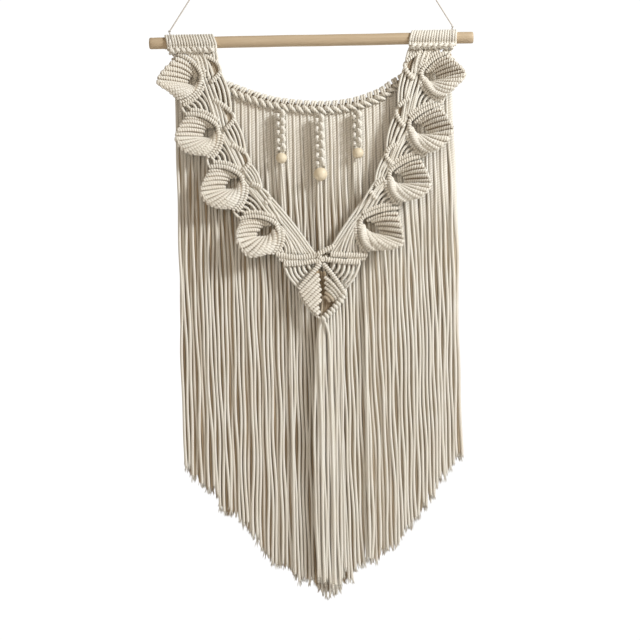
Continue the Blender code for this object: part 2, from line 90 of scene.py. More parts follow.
# Leaves: apex, upper corner, tip, low corner, base corner, far end of the hole
LEAVES = {
    "leaf_left_1": ((-163, 53), (-198, 21), (-227, 56), (-212, 72), (-196, 86), (-182, 61)),
    "leaf_left_2": ((-141, 127), (-187, 110), (-202, 140), (-189, 162), (-158, 168), (-161, 140)),
    "leaf_left_3": ((-107, 201), (-154, 188), (-167, 221), (-152, 242), (-122, 247), (-130, 216)),
    "leaf_left_4": ((-58, 271), (-110, 264), (-116, 290), (-99, 316), (-66, 312), (-86, 286)),
    "leaf_right_1": ((162, 53), (199, 26), (225, 54), (211, 74), (196, 87), (185, 62)),
    "leaf_right_2": ((143, 125), (188, 102), (206, 136), (187, 163), (169, 169), (168, 143)),
    "leaf_right_3": ((113, 198), (158, 178), (172, 214), (158, 233), (131, 240), (133, 213)),
    "leaf_right_4": ((70, 266), (123, 253), (131, 296), (118, 308), (83, 310), (96, 287)),
}
# Short knotted ridges of the inner net, one row a leaf: where the ridge above the
# leaf's apex starts and ends, then where the next one starts and ends
RIDGES = {
    "left": [
        ((-132.8, 45.3), (-147.5, 60.0), (-143.5, 85.8), (-118.5, 104.0)),
        ((-114.1, 114.3), (-128.0, 129.5), (-119.5, 152.5), (-98.9, 163.9)),
        ((-93.2, 178.6), (-103.5, 189.5), (-91.0, 209.0), (-76.0, 217.0)),
        ((-64.0, 229.0), (-72.0, 239.0), None, None),
    ],
    "right": [
        ((135.0, 42.5), (148.5, 62.0), (142.0, 88.5), (124.8, 101.0)),
        ((121.0, 109.6), (133.5, 131.0), (124.0, 154.5), (105.7, 166.0)),
        ((104.2, 169.1), (115.5, 186.0), (103.5, 205.0), (88.5, 216.5)),
        ((82.0, 223.0), (91.0, 236.0), None, None),
    ],
}
INNER = {
    "left": [
        (-143, 18.5), (-137, 27), (-130.5, 44), (-126, 61), (-119, 80), (-116, 103),
        (-105, 133), (-95, 170), (-80, 200), (-66, 226), (-50, 248), (-36, 265), (-2, 307),
    ],
    "right": [
        (148, 18.5), (142, 27), (134, 44), (129, 61), (124, 82), (122, 104),
        (113, 135), (104, 167), (94, 198), (83, 225), (68, 247), (54, 266), (18, 307),
    ],
}
# Sinnets: x, top, bead centre, bead size, tail's x at its end, tail's end
SINNETS = {
    "left": (-46.8, 101.5, 172.1, 16.0, -38.0, 782),
    "centre": (10.0, 109.5, 196.8, 20.0, 13.0, 788),
    "right": (65.4, 105.0, 166.8, 16.0, 72.0, 760),
}
TAIL, TAIL_Y, TAIL_STEPS = 3.8, -1.2, 26
STRINGS = {
    "left": (STRAPS["left"][2], (-207.6, -17.0), (-169.3, -75.0)),
    "right": (STRAPS["right"][2], (207.6, -17.0), (172.4, -75.5)),
}
STRING = 2.0
LOOP_RADIUS = 4.0


def arm_front(down):
    """Depth of the net's front: it leaves the rod and swings a little forward."""
    return -15.0 + 5.0 * np.exp(-(np.asarray(down, float) - 18.0) / 50.0)


def along(table, x):
    table = sorted(table)
    return np.interp(x, [p[0] for p in table], [p[1] for p in table])


# ---------------------------------------------------------------- paths


def world(path):
    """(x, y, down) in mm to the row frame, still in mm."""
    path = np.asarray(path, float)
    out = path.copy()
    out[..., 2] = -(ROD_DROP + path[..., 2])
    return out


def smooth(points, steps=10):
    """Points on a Catmull-Rom curve through the given ones."""
    p = np.asarray(points, float)
    if len(p) < 3:
        t = np.linspace(0, 1, steps + 1)[:, None]
        return p[0] * (1 - t) + p[1] * t
    a = np.vstack([2 * p[0] - p[1], p, 2 * p[-1] - p[-2]])
    out = []
    t = (np.arange(steps) / steps)[:, None]
    for i in range(len(p) - 1):
        q0, q1, q2, q3 = a[i], a[i + 1], a[i + 2], a[i + 3]
        out.append(
            0.5
            * (
                2 * q1
                + (q2 - q0) * t
                + (2 * q0 - 5 * q1 + 4 * q2 - q3) * t * t
                + (3 * q1 - q0 - 3 * q2 + q3) * t**3
            )
        )
    out.append(p[-1:])
    return np.vstack(out)


def run_of(path):
    return np.concatenate([[0.0], np.cumsum(np.linalg.norm(np.diff(path, axis=0), axis=1))])


def spaced(path, step=None, at=None, extra=()):
    """The path read again at even spacing, or at the given distances; extra columns follow."""
    run = run_of(path)
    if at is None:
        at = np.linspace(0, run[-1], max(2, int(math.ceil(run[-1] / step)) + 1))
    new = np.stack([np.interp(at, run, path[:, k]) for k in range(path.shape[1])], 1)
    if not extra:
        return new, at
    return (new, at) + tuple(np.interp(at, run, e) for e in extra)


def unit(v):
    return v / np.maximum(np.linalg.norm(v, axis=-1, keepdims=True), 1e-9)


def axes_of(path, front):
    """Tangent, the way to the viewer's side, and across, along a path."""
    t = unit(np.gradient(path, axis=0))
    ref = np.broadcast_to(np.asarray(front, float), path.shape)
    n = ref - (ref * t).sum(1, keepdims=True) * t
    bad = np.linalg.norm(n, axis=1) < 1e-3
    if bad.any():
        alt = np.broadcast_to(np.array([1.0, 0.0, 0.0]), path.shape)
        n = np.where(bad[:, None], alt - (alt * t).sum(1, keepdims=True) * t, n)
    n = unit(n)
    return t, n, np.cross(t, n)


FRONT = (0.0, -1.0, 0.0)


class Batch:
    """Many tubes gathered into one mesh."""

    def __init__(self):
        self.points, self.quads, self.tris, self.quad_uv, self.tri_uv = [], [], [], [], []
        self.quad_mat, self.tri_mat = [], []
        self.count = 0

    def skin(self, rows, v, closed=False, mat=0):
        """rows: rings x sides x 3 points. v: how far along, per ring."""
        rings, sides, _ = rows.shape
        base = self.count
        self.points.append(rows.reshape(-1, 3))
        self.count += rings * sides
        i = np.arange(rings if closed else rings - 1)
        k = np.arange(sides)
        i, k = np.meshgrid(i, k, indexing="ij")
        n, m = (k + 1) % sides, (i + 1) % rings
        quads = np.stack([i * sides + k, m * sides + k, m * sides + n, i * sides + n], -1) + base
        self.quads.append(quads.reshape(-1, 4))
        self.quad_mat.append(np.full(quads.shape[0] * quads.shape[1], mat))
        v = np.asarray(v, float)
        top = np.append(v, v[-1] + (v[-1] - v[-2])) if closed else v
        u0, u1 = k / sides, (k + 1) / sides
        v0, v1 = top[i], top[i + 1]
        uv = np.stack([np.stack([u0, v0], -1), np.stack([u0, v1], -1), np.stack([u1, v1], -1), np.stack([u1, v0], -1)], -2)
        self.quad_uv.append(uv.reshape(-1, 4, 2))
        if closed:
            return
        for ring, flip in ((0, False), (rings - 1, True)):
            centre = rows[ring].mean(0)
            self.points.append(centre[None])
            hub = self.count
            self.count += 1
            a = base + ring * sides + np.arange(sides)
            b = base + ring * sides + (np.arange(sides) + 1) % sides
            tri = np.stack([np.full(sides, hub), a, b] if not flip else [np.full(sides, hub), b, a], -1)
            self.tris.append(tri)
            self.tri_mat.append(np.full(sides, mat))
            self.tri_uv.append(np.full((sides, 3, 2), 0.5) * [1.0, 0.0] + [0.0, v[ring]])

    def grid(self, front, back, mat=0):
        """A closed sheet between two grids of points."""
        r, cols, _ = front.shape
        base = self.count
        n = r * cols
        self.points += [front.reshape(-1, 3), back.reshape(-1, 3)]
        self.count += 2 * n
        i, j = np.meshgrid(np.arange(r - 1), np.arange(cols - 1), indexing="ij")
        a = i * cols + j
        q = np.stack([a, a + 1, a + cols + 1, a + cols], -1).reshape(-1, 4)
        loop = list(range(cols)) + [k * cols + cols - 1 for k in range(1, r)]
        loop += [(r - 1) * cols + j for j in range(cols - 2, -1, -1)] + [k * cols for k in range(r - 2, 0, -1)]
        loop = np.array(loop)
        nxt = np.roll(loop, -1)
        rim = np.stack([nxt, loop, n + loop, n + nxt], -1)
        quads = np.vstack([q, q[:, ::-1] + n, rim]) + base
        self.quads.append(quads)
        self.quad_mat.append(np.full(len(quads), mat))
        self.quad_uv.append(np.full((len(quads), 4, 2), 0.5))

    def build(self, name, material, slot="cotton", nodes=(), outward=True):
        points = np.vstack(self.points) * MM
        quads = np.vstack(self.quads)
        tris = np.vstack(self.tris) if self.tris else np.zeros((0, 3), int)
        uv = np.vstack([np.vstack(self.quad_uv).reshape(-1, 2)] + ([np.vstack(self.tri_uv).reshape(-1, 2)] if self.tris else []))
        mesh = bpy.data.meshes.new(name)
        mesh.vertices.add(len(points))
        mesh.vertices.foreach_set("co", points.astype(np.float32).ravel())
        loops = np.concatenate([quads.ravel(), tris.ravel()]).astype(np.int32)
        mesh.loops.add(len(loops))
        mesh.loops.foreach_set("vertex_index", loops)
        mesh.polygons.add(len(quads) + len(tris))
        start = np.concatenate([np.arange(len(quads)) * 4, len(quads) * 4 + np.arange(len(tris)) * 3])
        mesh.polygons.foreach_set("loop_start", start.astype(np.int32))
        layer = mesh.uv_layers.new(name="along")
        mesh.update(calc_edges=True)
        layer.data.foreach_set("uv", uv.astype(np.float32).ravel())
        mesh.polygons.foreach_set("use_smooth", np.ones(len(mesh.polygons), bool))
        for each in material if isinstance(material, (list, tuple)) else [material]:
            mesh.materials.append(each)
        index = np.concatenate([np.concatenate(self.quad_mat)] + ([np.concatenate(self.tri_mat)] if self.tris else []))
        mesh.polygons.foreach_set("material_index", index.astype(np.int32))
        mesh.validate()
        ob = bpy.data.objects.new(name, mesh)
        bpy.context.scene.collection.objects.link(ob)
        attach(ob, "root")
        if nodes:
            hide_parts(*nodes)
        return ob


def ends(run, reach):
    """Rounds a tube's two ends: 1 in the middle, small at the ends."""
    d = np.minimum(run, run[-1] - run)
    t = np.clip(d / np.maximum(reach, 1e-6), 0, 1)
    return np.sqrt(np.clip(1 - (1 - t) ** 2, 0.03, 1))


def with_caps(at, reach):
    """Distances with a few more near both ends, for round ends."""
    extra = reach * np.array([0.0, 0.06, 0.25, 0.55])
    body = at[(at > reach * 0.8) & (at < at[-1] - reach * 0.8)]
    return np.concatenate([extra, body, at[-1] - extra[::-1]])


LAY = 11.0  # one turn of a three-ply cord


def cord(batch, points, r=1.95, sides=8, step=3.0, ply=False, front=FRONT, squash=1.0, steps=10, phase=None, cap=None,
         profile=None, mat=0):
    """A loose cord. With ply, its three strands stand out in the mesh itself.
    profile: shares of r, evenly spaced from end to end."""
    dense = smooth(world(points), steps)
    run = run_of(dense)
    if ply:
        step = 1.25
    at = np.linspace(0, run[-1], max(4, int(math.ceil(run[-1] / step)) + 1))
    cap = r if cap is None else cap
    at = with_caps(at, cap)
    path, at = spaced(dense, at=at)
    t, n, b = axes_of(path, front)
    size = r * ends(at, cap)
    if profile is not None:
        size = size * np.interp(at / at[-1], np.linspace(0, 1, len(profile)), profile)
    k = np.arange(9 if ply else sides)
    turn = 2 * np.pi * k / len(k)
    phase = rng.uniform(0, 2 * np.pi) if phase is None else phase
    angle = turn[None, :] + (2 * np.pi * at / LAY)[:, None] * (1.0 if ply else 0.0) + phase
    shape = np.tile([0.84, 1.03, 1.03], 3)[None, :] if ply else np.ones((1, len(k)))
    rows = (
        path[:, None]
        + n[:, None] * (np.cos(angle) * shape)[..., None] * (size * squash)[:, None, None]
        + b[:, None] * (np.sin(angle) * shape)[..., None] * size[:, None, None]
    )
    batch.skin(rows, at / LAY, mat=mat)


def hitches(batch, points, half, thick=None, pitch=3.7, slant=0.45, front=FRONT, sides=10, tilt=0.0, steps=10,
            crease=0.52, cap=None, space="mm", jitter=0.04, mat=1):
    """A row of half hitches: cord wound round a carrier, one bulge for each turn.
    half and thick are half the width and half the thickness of the row."""
    p = np.asarray(points, float)
    p = world(p) if space == "mm" else p
    half = np.asarray(half, float)
    thick = half if thick is None else np.asarray(thick, float)
    front = np.asarray(front, float)
    if space == "mm":
        dense = smooth(p, steps)
        source = run_of(p) / max(run_of(p)[-1], 1e-9)
    else:
        dense = p
        source = run_of(p) / max(run_of(p)[-1], 1e-9)
    run = run_of(dense)
    total = run[-1]
    turns = max(2, int(round(total / pitch)))
    shares = np.array([0.0, 0.17, 0.5, 0.83])
    phase = (np.arange(turns)[:, None] + shares).ravel()
    phase = np.append(phase, turns)
    at = phase / turns * total
    path = spaced(dense, at=at)[0]
    share = at / total
    w = np.interp(share, source, half) if half.ndim else np.full(len(at), float(half))
    h = np.interp(share, source, thick) if thick.ndim else np.full(len(at), float(thick))
    if front.ndim == 2:
        front = np.stack([np.interp(share, source, front[:, j]) for j in range(3)], 1)
    t, n, b = axes_of(path, front)
    frac = phase - np.floor(phase)
    bulge = crease + (1 - crease) * np.sin(np.pi * frac) ** 0.7
    which = np.floor(phase).astype(int)
    uneven = 1 + jitter * rng.standard_normal(turns + 1)
    bulge = bulge * uneven[np.minimum(which, turns)]
    cap = 1.2 if cap is None else cap
    close = ends(at, cap)
    close[0] = close[-1] = 0.35
    k = np.arange(sides)
    angle = 2 * np.pi * (k + 0.5) / sides
    wide, high = np.cos(angle), np.sin(angle)
    ct, st = math.cos(tilt), math.sin(tilt)
    across = b * ct + n * st
    up = n * ct - b * st
    skew = slant * (total / turns) * np.minimum(1.0, np.minimum(at, total - at) / (total / turns))
    rows = (
        path[:, None]
        + across[:, None] * wide[None, :, None] * (w * bulge * close)[:, None, None]
        + up[:, None] * high[None, :, None] * (h * bulge * close)[:, None, None]
        + t[:, None] * wide[None, :, None] * skew[:, None, None]
    )
    batch.skin(rows, phase, mat=mat)


# ---------------------------------------------------------------- materials


def tree(name, colour, roughness, sheen=0.0):
    mat = bpy.data.materials.new(name)
    mat.use_nodes = True
    nt = mat.node_tree
    shader = nt.nodes["Principled BSDF"]
    shader.inputs["Base Color"].default_value = (*colour, 1)
    shader.inputs["Roughness"].default_value = roughness
    shader.inputs["Sheen Weight"].default_value = sheen
    shader.inputs["Sheen Roughness"].default_value = 0.5
    shader.inputs["Specular IOR Level"].default_value = 0.25
    return mat, nt, shader


def node(nt, kind, **values):
    made = nt.nodes.new(kind)
    for key, value in values.items():
        if hasattr(made, key) and key not in made.inputs:
            setattr(made, key, value)
        else:
            made.inputs[key.replace("_", " ")].default_value = value
    return made


def math_node(nt, kind, a, b=None, c=None):
    made = nt.nodes.new("ShaderNodeMath")
    made.operation = kind
    for i, value in enumerate((a, b, c)):
        if value is None:
            continue
        if isinstance(value, (int, float)):
            made.inputs[i].default_value = value
        else:
            nt.links.new(value, made.inputs[i])
    return made.outputs[0]


def mixed(nt, factor, a, b, kind="MIX"):
    made = nt.nodes.new("ShaderNodeMix")
    made.data_type = "RGBA"
    made.blend_type = kind
    for socket, value in ((made.inputs[0], factor), (made.inputs[6], a), (made.inputs[7], b)):
        if isinstance(value, (int, float)):
            socket.default_value = value
        elif isinstance(value, tuple):
            socket.default_value = (*value, 1.0)
        else:
            nt.links.new(value, socket)
    return made.outputs[2]


def cotton(name, light, dark, kind, fibre=1.0):
    """Matt cotton: slow colour change, fine fibres, painted shade in the creases.
    kind: "laid" draws three strands laid round each other, with painted shade between
    them, "plied" only paints shade into the grooves of strands that the mesh has,
    "wound" is cord wound round a carrier, with one turn of v for each wrap and painted
    shade where wraps meet, and "ribbed" is the same with painted shade on the sides
    where one row meets the next."""
    mat, nt, shader = tree(name, light, 0.92, sheen=0.2)
    place = nt.nodes.new("ShaderNodeTexCoord").outputs["Object"]

    slow = node(nt, "ShaderNodeTexNoise", Scale=26.0, Detail=2.0)
    nt.links.new(place, slow.inputs["Vector"])
    fine = node(nt, "ShaderNodeTexNoise", Scale=1500.0, Detail=3.0, Roughness=0.65)
    nt.links.new(place, fine.inputs["Vector"])
    speck = node(nt, "ShaderNodeTexNoise", Scale=420.0, Detail=2.0)
    nt.links.new(place, speck.inputs["Vector"])

    uv = nt.nodes.new("ShaderNodeUVMap")
    uv.uv_map = "along"
    split = nt.nodes.new("ShaderNodeSeparateXYZ")
    nt.links.new(uv.outputs[0], split.inputs[0])
    u, v = split.outputs[0], split.outputs[1]
    # fibres run a little askew along the cord
    lane = math_node(nt, "ADD", math_node(nt, "MULTIPLY", u, 17.0), math_node(nt, "MULTIPLY", v, 9.0))
    thread = node(nt, "ShaderNodeTexNoise", Scale=1.0, Detail=2.0)
    join = nt.nodes.new("ShaderNodeCombineXYZ")
    nt.links.new(lane, join.inputs[0])
    nt.links.new(math_node(nt, "MULTIPLY", v, 1.4), join.inputs[1])
    nt.links.new(join.outputs[0], thread.inputs["Vector"])

    tone = math_node(nt, "MULTIPLY_ADD", slow.outputs["Fac"], 1.5, -0.30)
    colour = mixed(nt, tone, dark, light)
    colour = mixed(nt, math_node(nt, "MULTIPLY", thread.outputs["Fac"], 0.20), colour, dark)

    height = math_node(nt, "MULTIPLY", fine.outputs["Fac"], 0.35 * fibre)
    height = math_node(nt, "ADD", height, math_node(nt, "MULTIPLY", thread.outputs["Fac"], 0.35 * fibre))

    def off_centre(value):
        """0 in the middle of each turn of value, 1 where the turns meet."""
        return math_node(nt, "ABSOLUTE", math_node(nt, "MULTIPLY_ADD", math_node(nt, "FRACT", value), 2.0, -1.0))

    def rounded(off):
        return math_node(nt, "SQRT", math_node(nt, "MAXIMUM", math_node(nt, "SUBTRACT", 1.0, math_node(nt, "MULTIPLY", off, off)), 0.0))

    if kind == "laid":
        off = off_centre(math_node(nt, "MULTIPLY", math_node(nt, "SUBTRACT", u, v), 3.0))
        height = math_node(nt, "ADD", height, rounded(off))
        # painted shade in the grooves between the laid strands
        groove_shade = math_node(nt, "MULTIPLY", math_node(nt, "POWER", off, 3.0), 0.48)
    elif kind == "plied":
        off = off_centre(math_node(nt, "MULTIPLY", u, 3.0))
        # painted shade in the grooves between the plies
        groove_shade = math_node(nt, "MULTIPLY", math_node(nt, "POWER", off, 3.0), 0.42)
    else:
        off = off_centre(math_node(nt, "ADD", math_node(nt, "MULTIPLY", u, 5.0), math_node(nt, "MULTIPLY", v, 0.9)))
        height = math_node(nt, "ADD", height, math_node(nt, "MULTIPLY", rounded(off), 0.8))
        # painted shade where one wrap meets the next
        crease = math_node(nt, "POWER", off_centre(v), 3.0)
        groove_shade = math_node(nt, "ADD", math_node(nt, "MULTIPLY", crease, {"wound": 0.66, "stitched": 0.8}.get(kind, 0.42)), math_node(nt, "MULTIPLY", math_node(nt, "POWER", off, 4.0), 0.12))
        if kind in ("ribbed", "stitched"):
            # painted shade on the sides of each row, where it meets the next
            flank_shade = math_node(nt, "ABSOLUTE", math_node(nt, "COSINE", math_node(nt, "MULTIPLY_ADD", u, 2 * math.pi, math.pi / 10)))
            groove_shade = math_node(nt, "ADD", groove_shade, math_node(nt, "MULTIPLY", math_node(nt, "POWER", flank_shade, 6.0), 0.75 if kind == "ribbed" else 0.6))
        groove_shade = math_node(nt, "MINIMUM", groove_shade, 1.0)
    # all these marks darken the colour toward a dark brown: painted shade
    colour = mixed(nt, groove_shade, colour, SHADE_IN_GROOVES)
    bump = nt.nodes.new("ShaderNodeBump")
    bump.inputs["Strength"].default_value = 0.8
    bump.inputs["Distance"].default_value = 0.0009 if kind == "laid" else 0.0006
    nt.links.new(height, bump.inputs["Height"])
    nt.links.new(bump.outputs[0], shader.inputs["Normal"])
    nt.links.new(colour, shader.inputs["Base Color"])
    rough = math_node(nt, "MULTIPLY_ADD", speck.outputs["Fac"], 0.14, 0.84)
    nt.links.new(rough, shader.inputs["Roughness"])
    return mat


# LIGHT and DARK are the cotton's own tones; the third colour is the dark brown of painted shade in grooves and creases
LIGHT, DARK, SHADE_IN_GROOVES = (0.885, 0.868, 0.812), (0.785, 0.735, 0.64), (0.27, 0.19, 0.11)
M_KNOT = cotton("cotton_wound", LIGHT, DARK, "wound", 1.2)
M_CORD = cotton("cotton_cord", LIGHT, DARK, "laid")
# a dark brown copy of the cotton: painted shade for cords and backing sheets deep in the net and fringe
M_PAINTED_SHADE = cotton("cotton_cord_painted_shade", (0.57, 0.46, 0.335), (0.41, 0.31, 0.205), "laid")
# a darker copy of the cotton: painted shade for cords set back in the fringe and tassel
M_PAINTED_SET_BACK_SHADE = cotton("cotton_cord_painted_set_back_shade", (0.865, 0.83, 0.755), (0.75, 0.685, 0.585), "laid")
# a darker, browner copy of the cotton: painted shade for cords in the net's pockets and recesses
M_PAINTED_RECESS_SHADE = cotton("cotton_cord_painted_recess_shade", (0.76, 0.67, 0.54), (0.60, 0.50, 0.37), "laid")
# a lighter copy of the cotton: painted light that brightens the flat cords lying in shade under the swag
M_PAINTED_LIGHT_FLAT = cotton("cotton_cord_painted_light_flat", (0.89, 0.87, 0.81), (0.83, 0.785, 0.70), "laid")
# a deep brown copy of the cotton: painted shade for cords that show only in dark gaps
M_PAINTED_DEEP_SHADE = cotton("cotton_cord_painted_deep_shade", (0.40, 0.32, 0.22), (0.27, 0.205, 0.13), "laid")
M_LEAF = cotton("cotton_ribbed", LIGHT, DARK, "ribbed", 1.0)
M_STITCH = cotton("cotton_stitched", LIGHT, DARK, "stitched", 1.0)
M_PLY = cotton("cotton_plied", LIGHT, DARK, "plied")
M_STRING = cotton("string_cotton", (0.93, 0.925, 0.91), (0.84, 0.825, 0.80), "laid")
# slots 2, 4 and 5 of the net are painted shade copies of the cotton
NET = [M_PLY, M_KNOT, M_PAINTED_RECESS_SHADE, M_LEAF, M_PAINTED_SHADE, M_PAINTED_DEEP_SHADE, M_STITCH]


def wood(name, light, dark, scale, roughness, coat=0.0):
    mat, nt, shader = tree(name, light, roughness)
    shader.inputs["Coat Weight"].default_value = coat
    shader.inputs["Coat Roughness"].default_value = 0.35
    shader.inputs["Specular IOR Level"].default_value = 0.4
    place = nt.nodes.new("ShaderNodeTexCoord").outputs["Object"]
    stretch = nt.nodes.new("ShaderNodeMapping")
    stretch.inputs["Scale"].default_value = scale
    nt.links.new(place, stretch.inputs["Vector"])
    grain = node(nt, "ShaderNodeTexNoise", Scale=90.0, Detail=6.0, Roughness=0.62, Distortion=0.6)
    nt.links.new(stretch.outputs[0], grain.inputs["Vector"])
    rings = node(nt, "ShaderNodeTexWave", Scale=60.0, Distortion=7.0, Detail=3.0)
    rings.wave_type = "BANDS"
    rings.bands_direction = "Z"
    nt.links.new(stretch.outputs[0], rings.inputs["Vector"])
    pores = node(nt, "ShaderNodeTexNoise", Scale=700.0, Detail=2.0, Roughness=0.8)
    nt.links.new(stretch.outputs[0], pores.inputs["Vector"])
    broad = node(nt, "ShaderNodeTexNoise", Scale=9.0, Detail=2.0)
    nt.links.new(place, broad.inputs["Vector"])
    tone = math_node(nt, "MULTIPLY_ADD", grain.outputs["Fac"], 1.1, -0.22)
    tone = math_node(nt, "ADD", tone, math_node(nt, "MULTIPLY", rings.outputs["Fac"], 0.22))
    colour = mixed(nt, tone, dark, light)
    colour = mixed(nt, math_node(nt, "MULTIPLY", math_node(nt, "GREATER_THAN", pores.outputs["Fac"], 0.66), 0.25), colour, tuple(x * 0.6 for x in dark))
    colour = mixed(nt, math_node(nt, "MULTIPLY_ADD", broad.outputs["Fac"], 0.7, -0.2), colour, tuple(x * 0.86 for x in light))
    nt.links.new(colour, shader.inputs["Base Color"])
    rough = math_node(nt, "MULTIPLY_ADD", grain.outputs["Fac"], 0.2, roughness - 0.1)
    nt.links.new(rough, shader.inputs["Roughness"])
    bump = nt.nodes.new("ShaderNodeBump")
    bump.inputs["Strength"].default_value = 0.35
    bump.inputs["Distance"].default_value = 0.0003
    nt.links.new(math_node(nt, "ADD", grain.outputs["Fac"], math_node(nt, "MULTIPLY", pores.outputs["Fac"], 0.5)), bump.inputs["Height"])
    nt.links.new(bump.outputs[0], shader.inputs["Normal"])
    return mat


M_ROD = wood("rod_wood", (0.60, 0.48, 0.335), (0.44, 0.325, 0.20), (0.08, 1.0, 1.0), 0.55)
M_BEAD = wood("bead_wood", (0.775, 0.69, 0.535), (0.69, 0.58, 0.41), (1.0, 1.0, 0.25), 0.5, coat=0.08)

# ---------------------------------------------------------------- the hanging string: two legs and their loops


def strap_radius(angle):
    off = (math.degrees(angle) - 172.0) / 27.0
    return ROD_RADIUS + 1.7 + 5.0 * math.exp(-off * off)


def torus_path(centre, u, v, radius_u, radius_v, count=40):
    a = 2 * np.pi * np.arange(count) / count
    return centre + np.cos(a)[:, None] * u * radius_u + np.sin(a)[:, None] * v * radius_v


def ring_tube(batch, path, r, sides=8, front=FRONT):
    nxt, prev = np.roll(path, -1, 0), np.roll(path, 1, 0)
    t = unit(nxt - prev)
    ref = np.broadcast_to(np.asarray(front, float), path.shape)
    n = unit(ref - (ref * t).sum(1, keepdims=True) * t)
    b = np.cross(t, n)
    angle = 2 * np.pi * np.arange(sides) / sides
    r = np.broadcast_to(np.asarray(r, float), (len(path),))
    rows = path[:, None] + (n[:, None] * np.cos(angle)[None, :, None] + b[:, None] * np.sin(angle)[None, :, None]) * r[:, None, None]
    step = np.linalg.norm(nxt - path, axis=1)
    batch.skin(rows, np.concatenate([[0], np.cumsum(step)[:-1]]) / LAY, closed=True)


for side, (x, knot, end) in STRINGS.items():
    route = []
    for degrees in range(30, 331, 12):
        a = math.radians(degrees)
        r = strap_radius(a) + STRING / 2 + 0.7
        route.append((x, -r * math.sin(a), -r * math.cos(a)))
    route.append((x, 3.2, -12.6))
    route.append((x + (knot[0] - x) * 0.6, 1.2, -14.6))
    route.append((knot[0], 0.4, knot[1]))
    for t in (0.08, 0.25, 0.5, 0.75, 1.0):
        route.append((knot[0] + (end[0] - knot[0]) * t, 0.4 * (1 - t), knot[1] + (end[1] - knot[1]) * t))
    route = world(route)
    curve = bpy.data.curves.new(f"string_leg_{side}", "CURVE")
    curve.dimensions = "3D"
    curve.bevel_depth = STRING / 2 * MM
    curve.bevel_resolution = 4
    curve.use_fill_caps = True
    spline = curve.splines.new("POLY")
    dense = spaced(smooth(route, 4), step=1.6)[0]
    spline.points.add(len(dense) - 1)
    for point, co in zip(spline.points, dense):
        point.co = (*(co * MM), 1.0)
    spline.use_smooth = True
    curve.materials.append(M_STRING)
    leg = bpy.data.objects.new(f"string_leg_{side}", curve)
    bpy.context.scene.collection.objects.link(leg)
    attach(leg, "root")
    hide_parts(f"string_{side}")

    ties = Batch()
    top, low = world(np.array([end[0], 0.0, end[1]])), world(np.array([knot[0], 0.4, knot[1]]))
    d = unit(top - low)
    side_way = np.cross(d, np.array([0.0, 1.0, 0.0]))
    centre = top + d * (LOOP_RADIUS + 2.6 + 0.4)
    ring_tube(ties, torus_path(centre, d, side_way, LOOP_RADIUS, LOOP_RADIUS * 0.8), STRING / 2)
    depth_way = np.array([0.0, 1.0, 0.0])
    for lift, size in ((-0.6, 1.35), (1.3, 1.2)):
        ring_tube(ties, torus_path(top + d * lift, side_way, unit(depth_way + d * 0.35), size, size, 20), STRING / 2 * 0.92, front=tuple(d))
    ties.build(f"string_loop_{side}", M_STRING, "string", (f"loop_{side}",))

    tie = Batch()
    for lift, size, lean in ((-1.0, 1.2, 0.4), (0.6, 1.3, -0.3)):
        ring_tube(tie, torus_path(low + d * lift, side_way, unit(depth_way + d * lean), size, size, 20), STRING / 2 * 0.7, front=tuple(d))
    knot_piece = tie.build(f"string_knot_{side}", M_STRING, "string")

    length = float(run_of(dense)[-1]) * MM

# ---------------------------------------------------------------- rod and beads

rod = Batch()
half = ROD_LENGTH / 2
profile = [(-half, ROD_RADIUS - 2.4), (-half + 0.35, ROD_RADIUS - 1.2), (-half + 1.0, ROD_RADIUS - 0.4), (-half + 2.0, ROD_RADIUS)]
profile += [(x, ROD_RADIUS) for x in np.linspace(-half + 8, half - 8, 60)]
profile += [(-x, r) for x, r in profile[3::-1]]
ring = 2 * np.pi * np.arange(48) / 48
rows = np.array([[(x, r * math.cos(a), r * math.sin(a)) for a in ring] for x, r in profile])
waver = 0.12 * np.sin(rows[..., 0] / 31.0) + 0.10 * np.sin(rows[..., 0] / 13.0 + 1.0)
rows[..., 1] += waver
rows[..., 2] += 0.7 * waver
rod.skin(world(rows), rows[:, 0, 0] / 100.0)
rod.build("rod_turned", M_ROD, "rod_wood", ("rod",))


def sinnet_y(size):
    return 2.0 - 0.5 - size / 2


for side, (x, _, centre, size, _, _) in SINNETS.items():
    bead = Batch()
    bore, r = 2.4, size / 2
    start = math.atan2(math.sqrt(r * r - bore * bore), bore)
    outer = [(r * math.cos(a), -r * math.sin(a)) for a in np.linspace(start - 0.02, -start + 0.02, 33)]
    lip = [(bore + 0.05, outer[-1][1] - 0.15), (bore, outer[-1][1] - 0.7), (bore, outer[0][1] + 0.7), (bore + 0.05, outer[0][1] + 0.15)]
    profile = np.array(outer + lip)
    angle = 2 * np.pi * np.arange(48) / 48
    rows = np.stack(
        [
            x + profile[:, 0][:, None] * np.cos(angle),
            sinnet_y(size) + profile[:, 0][:, None] * np.sin(angle),
            centre + np.repeat(profile[:, 1][:, None], 48, 1),
        ],
        -1,
    )
    bead.skin(world(rows), np.arange(len(profile)) / len(profile), closed=True)
    bead.build(f"bead_turned_{side}", M_BEAD, "bead_wood", (f"bead_{side}",))

# ---------------------------------------------------------------- leaves

HOLE_HALF, LEAF_THICK = 6.8, 4.0
BOW_TOP, BOW_LOW = 6.2, 6.8


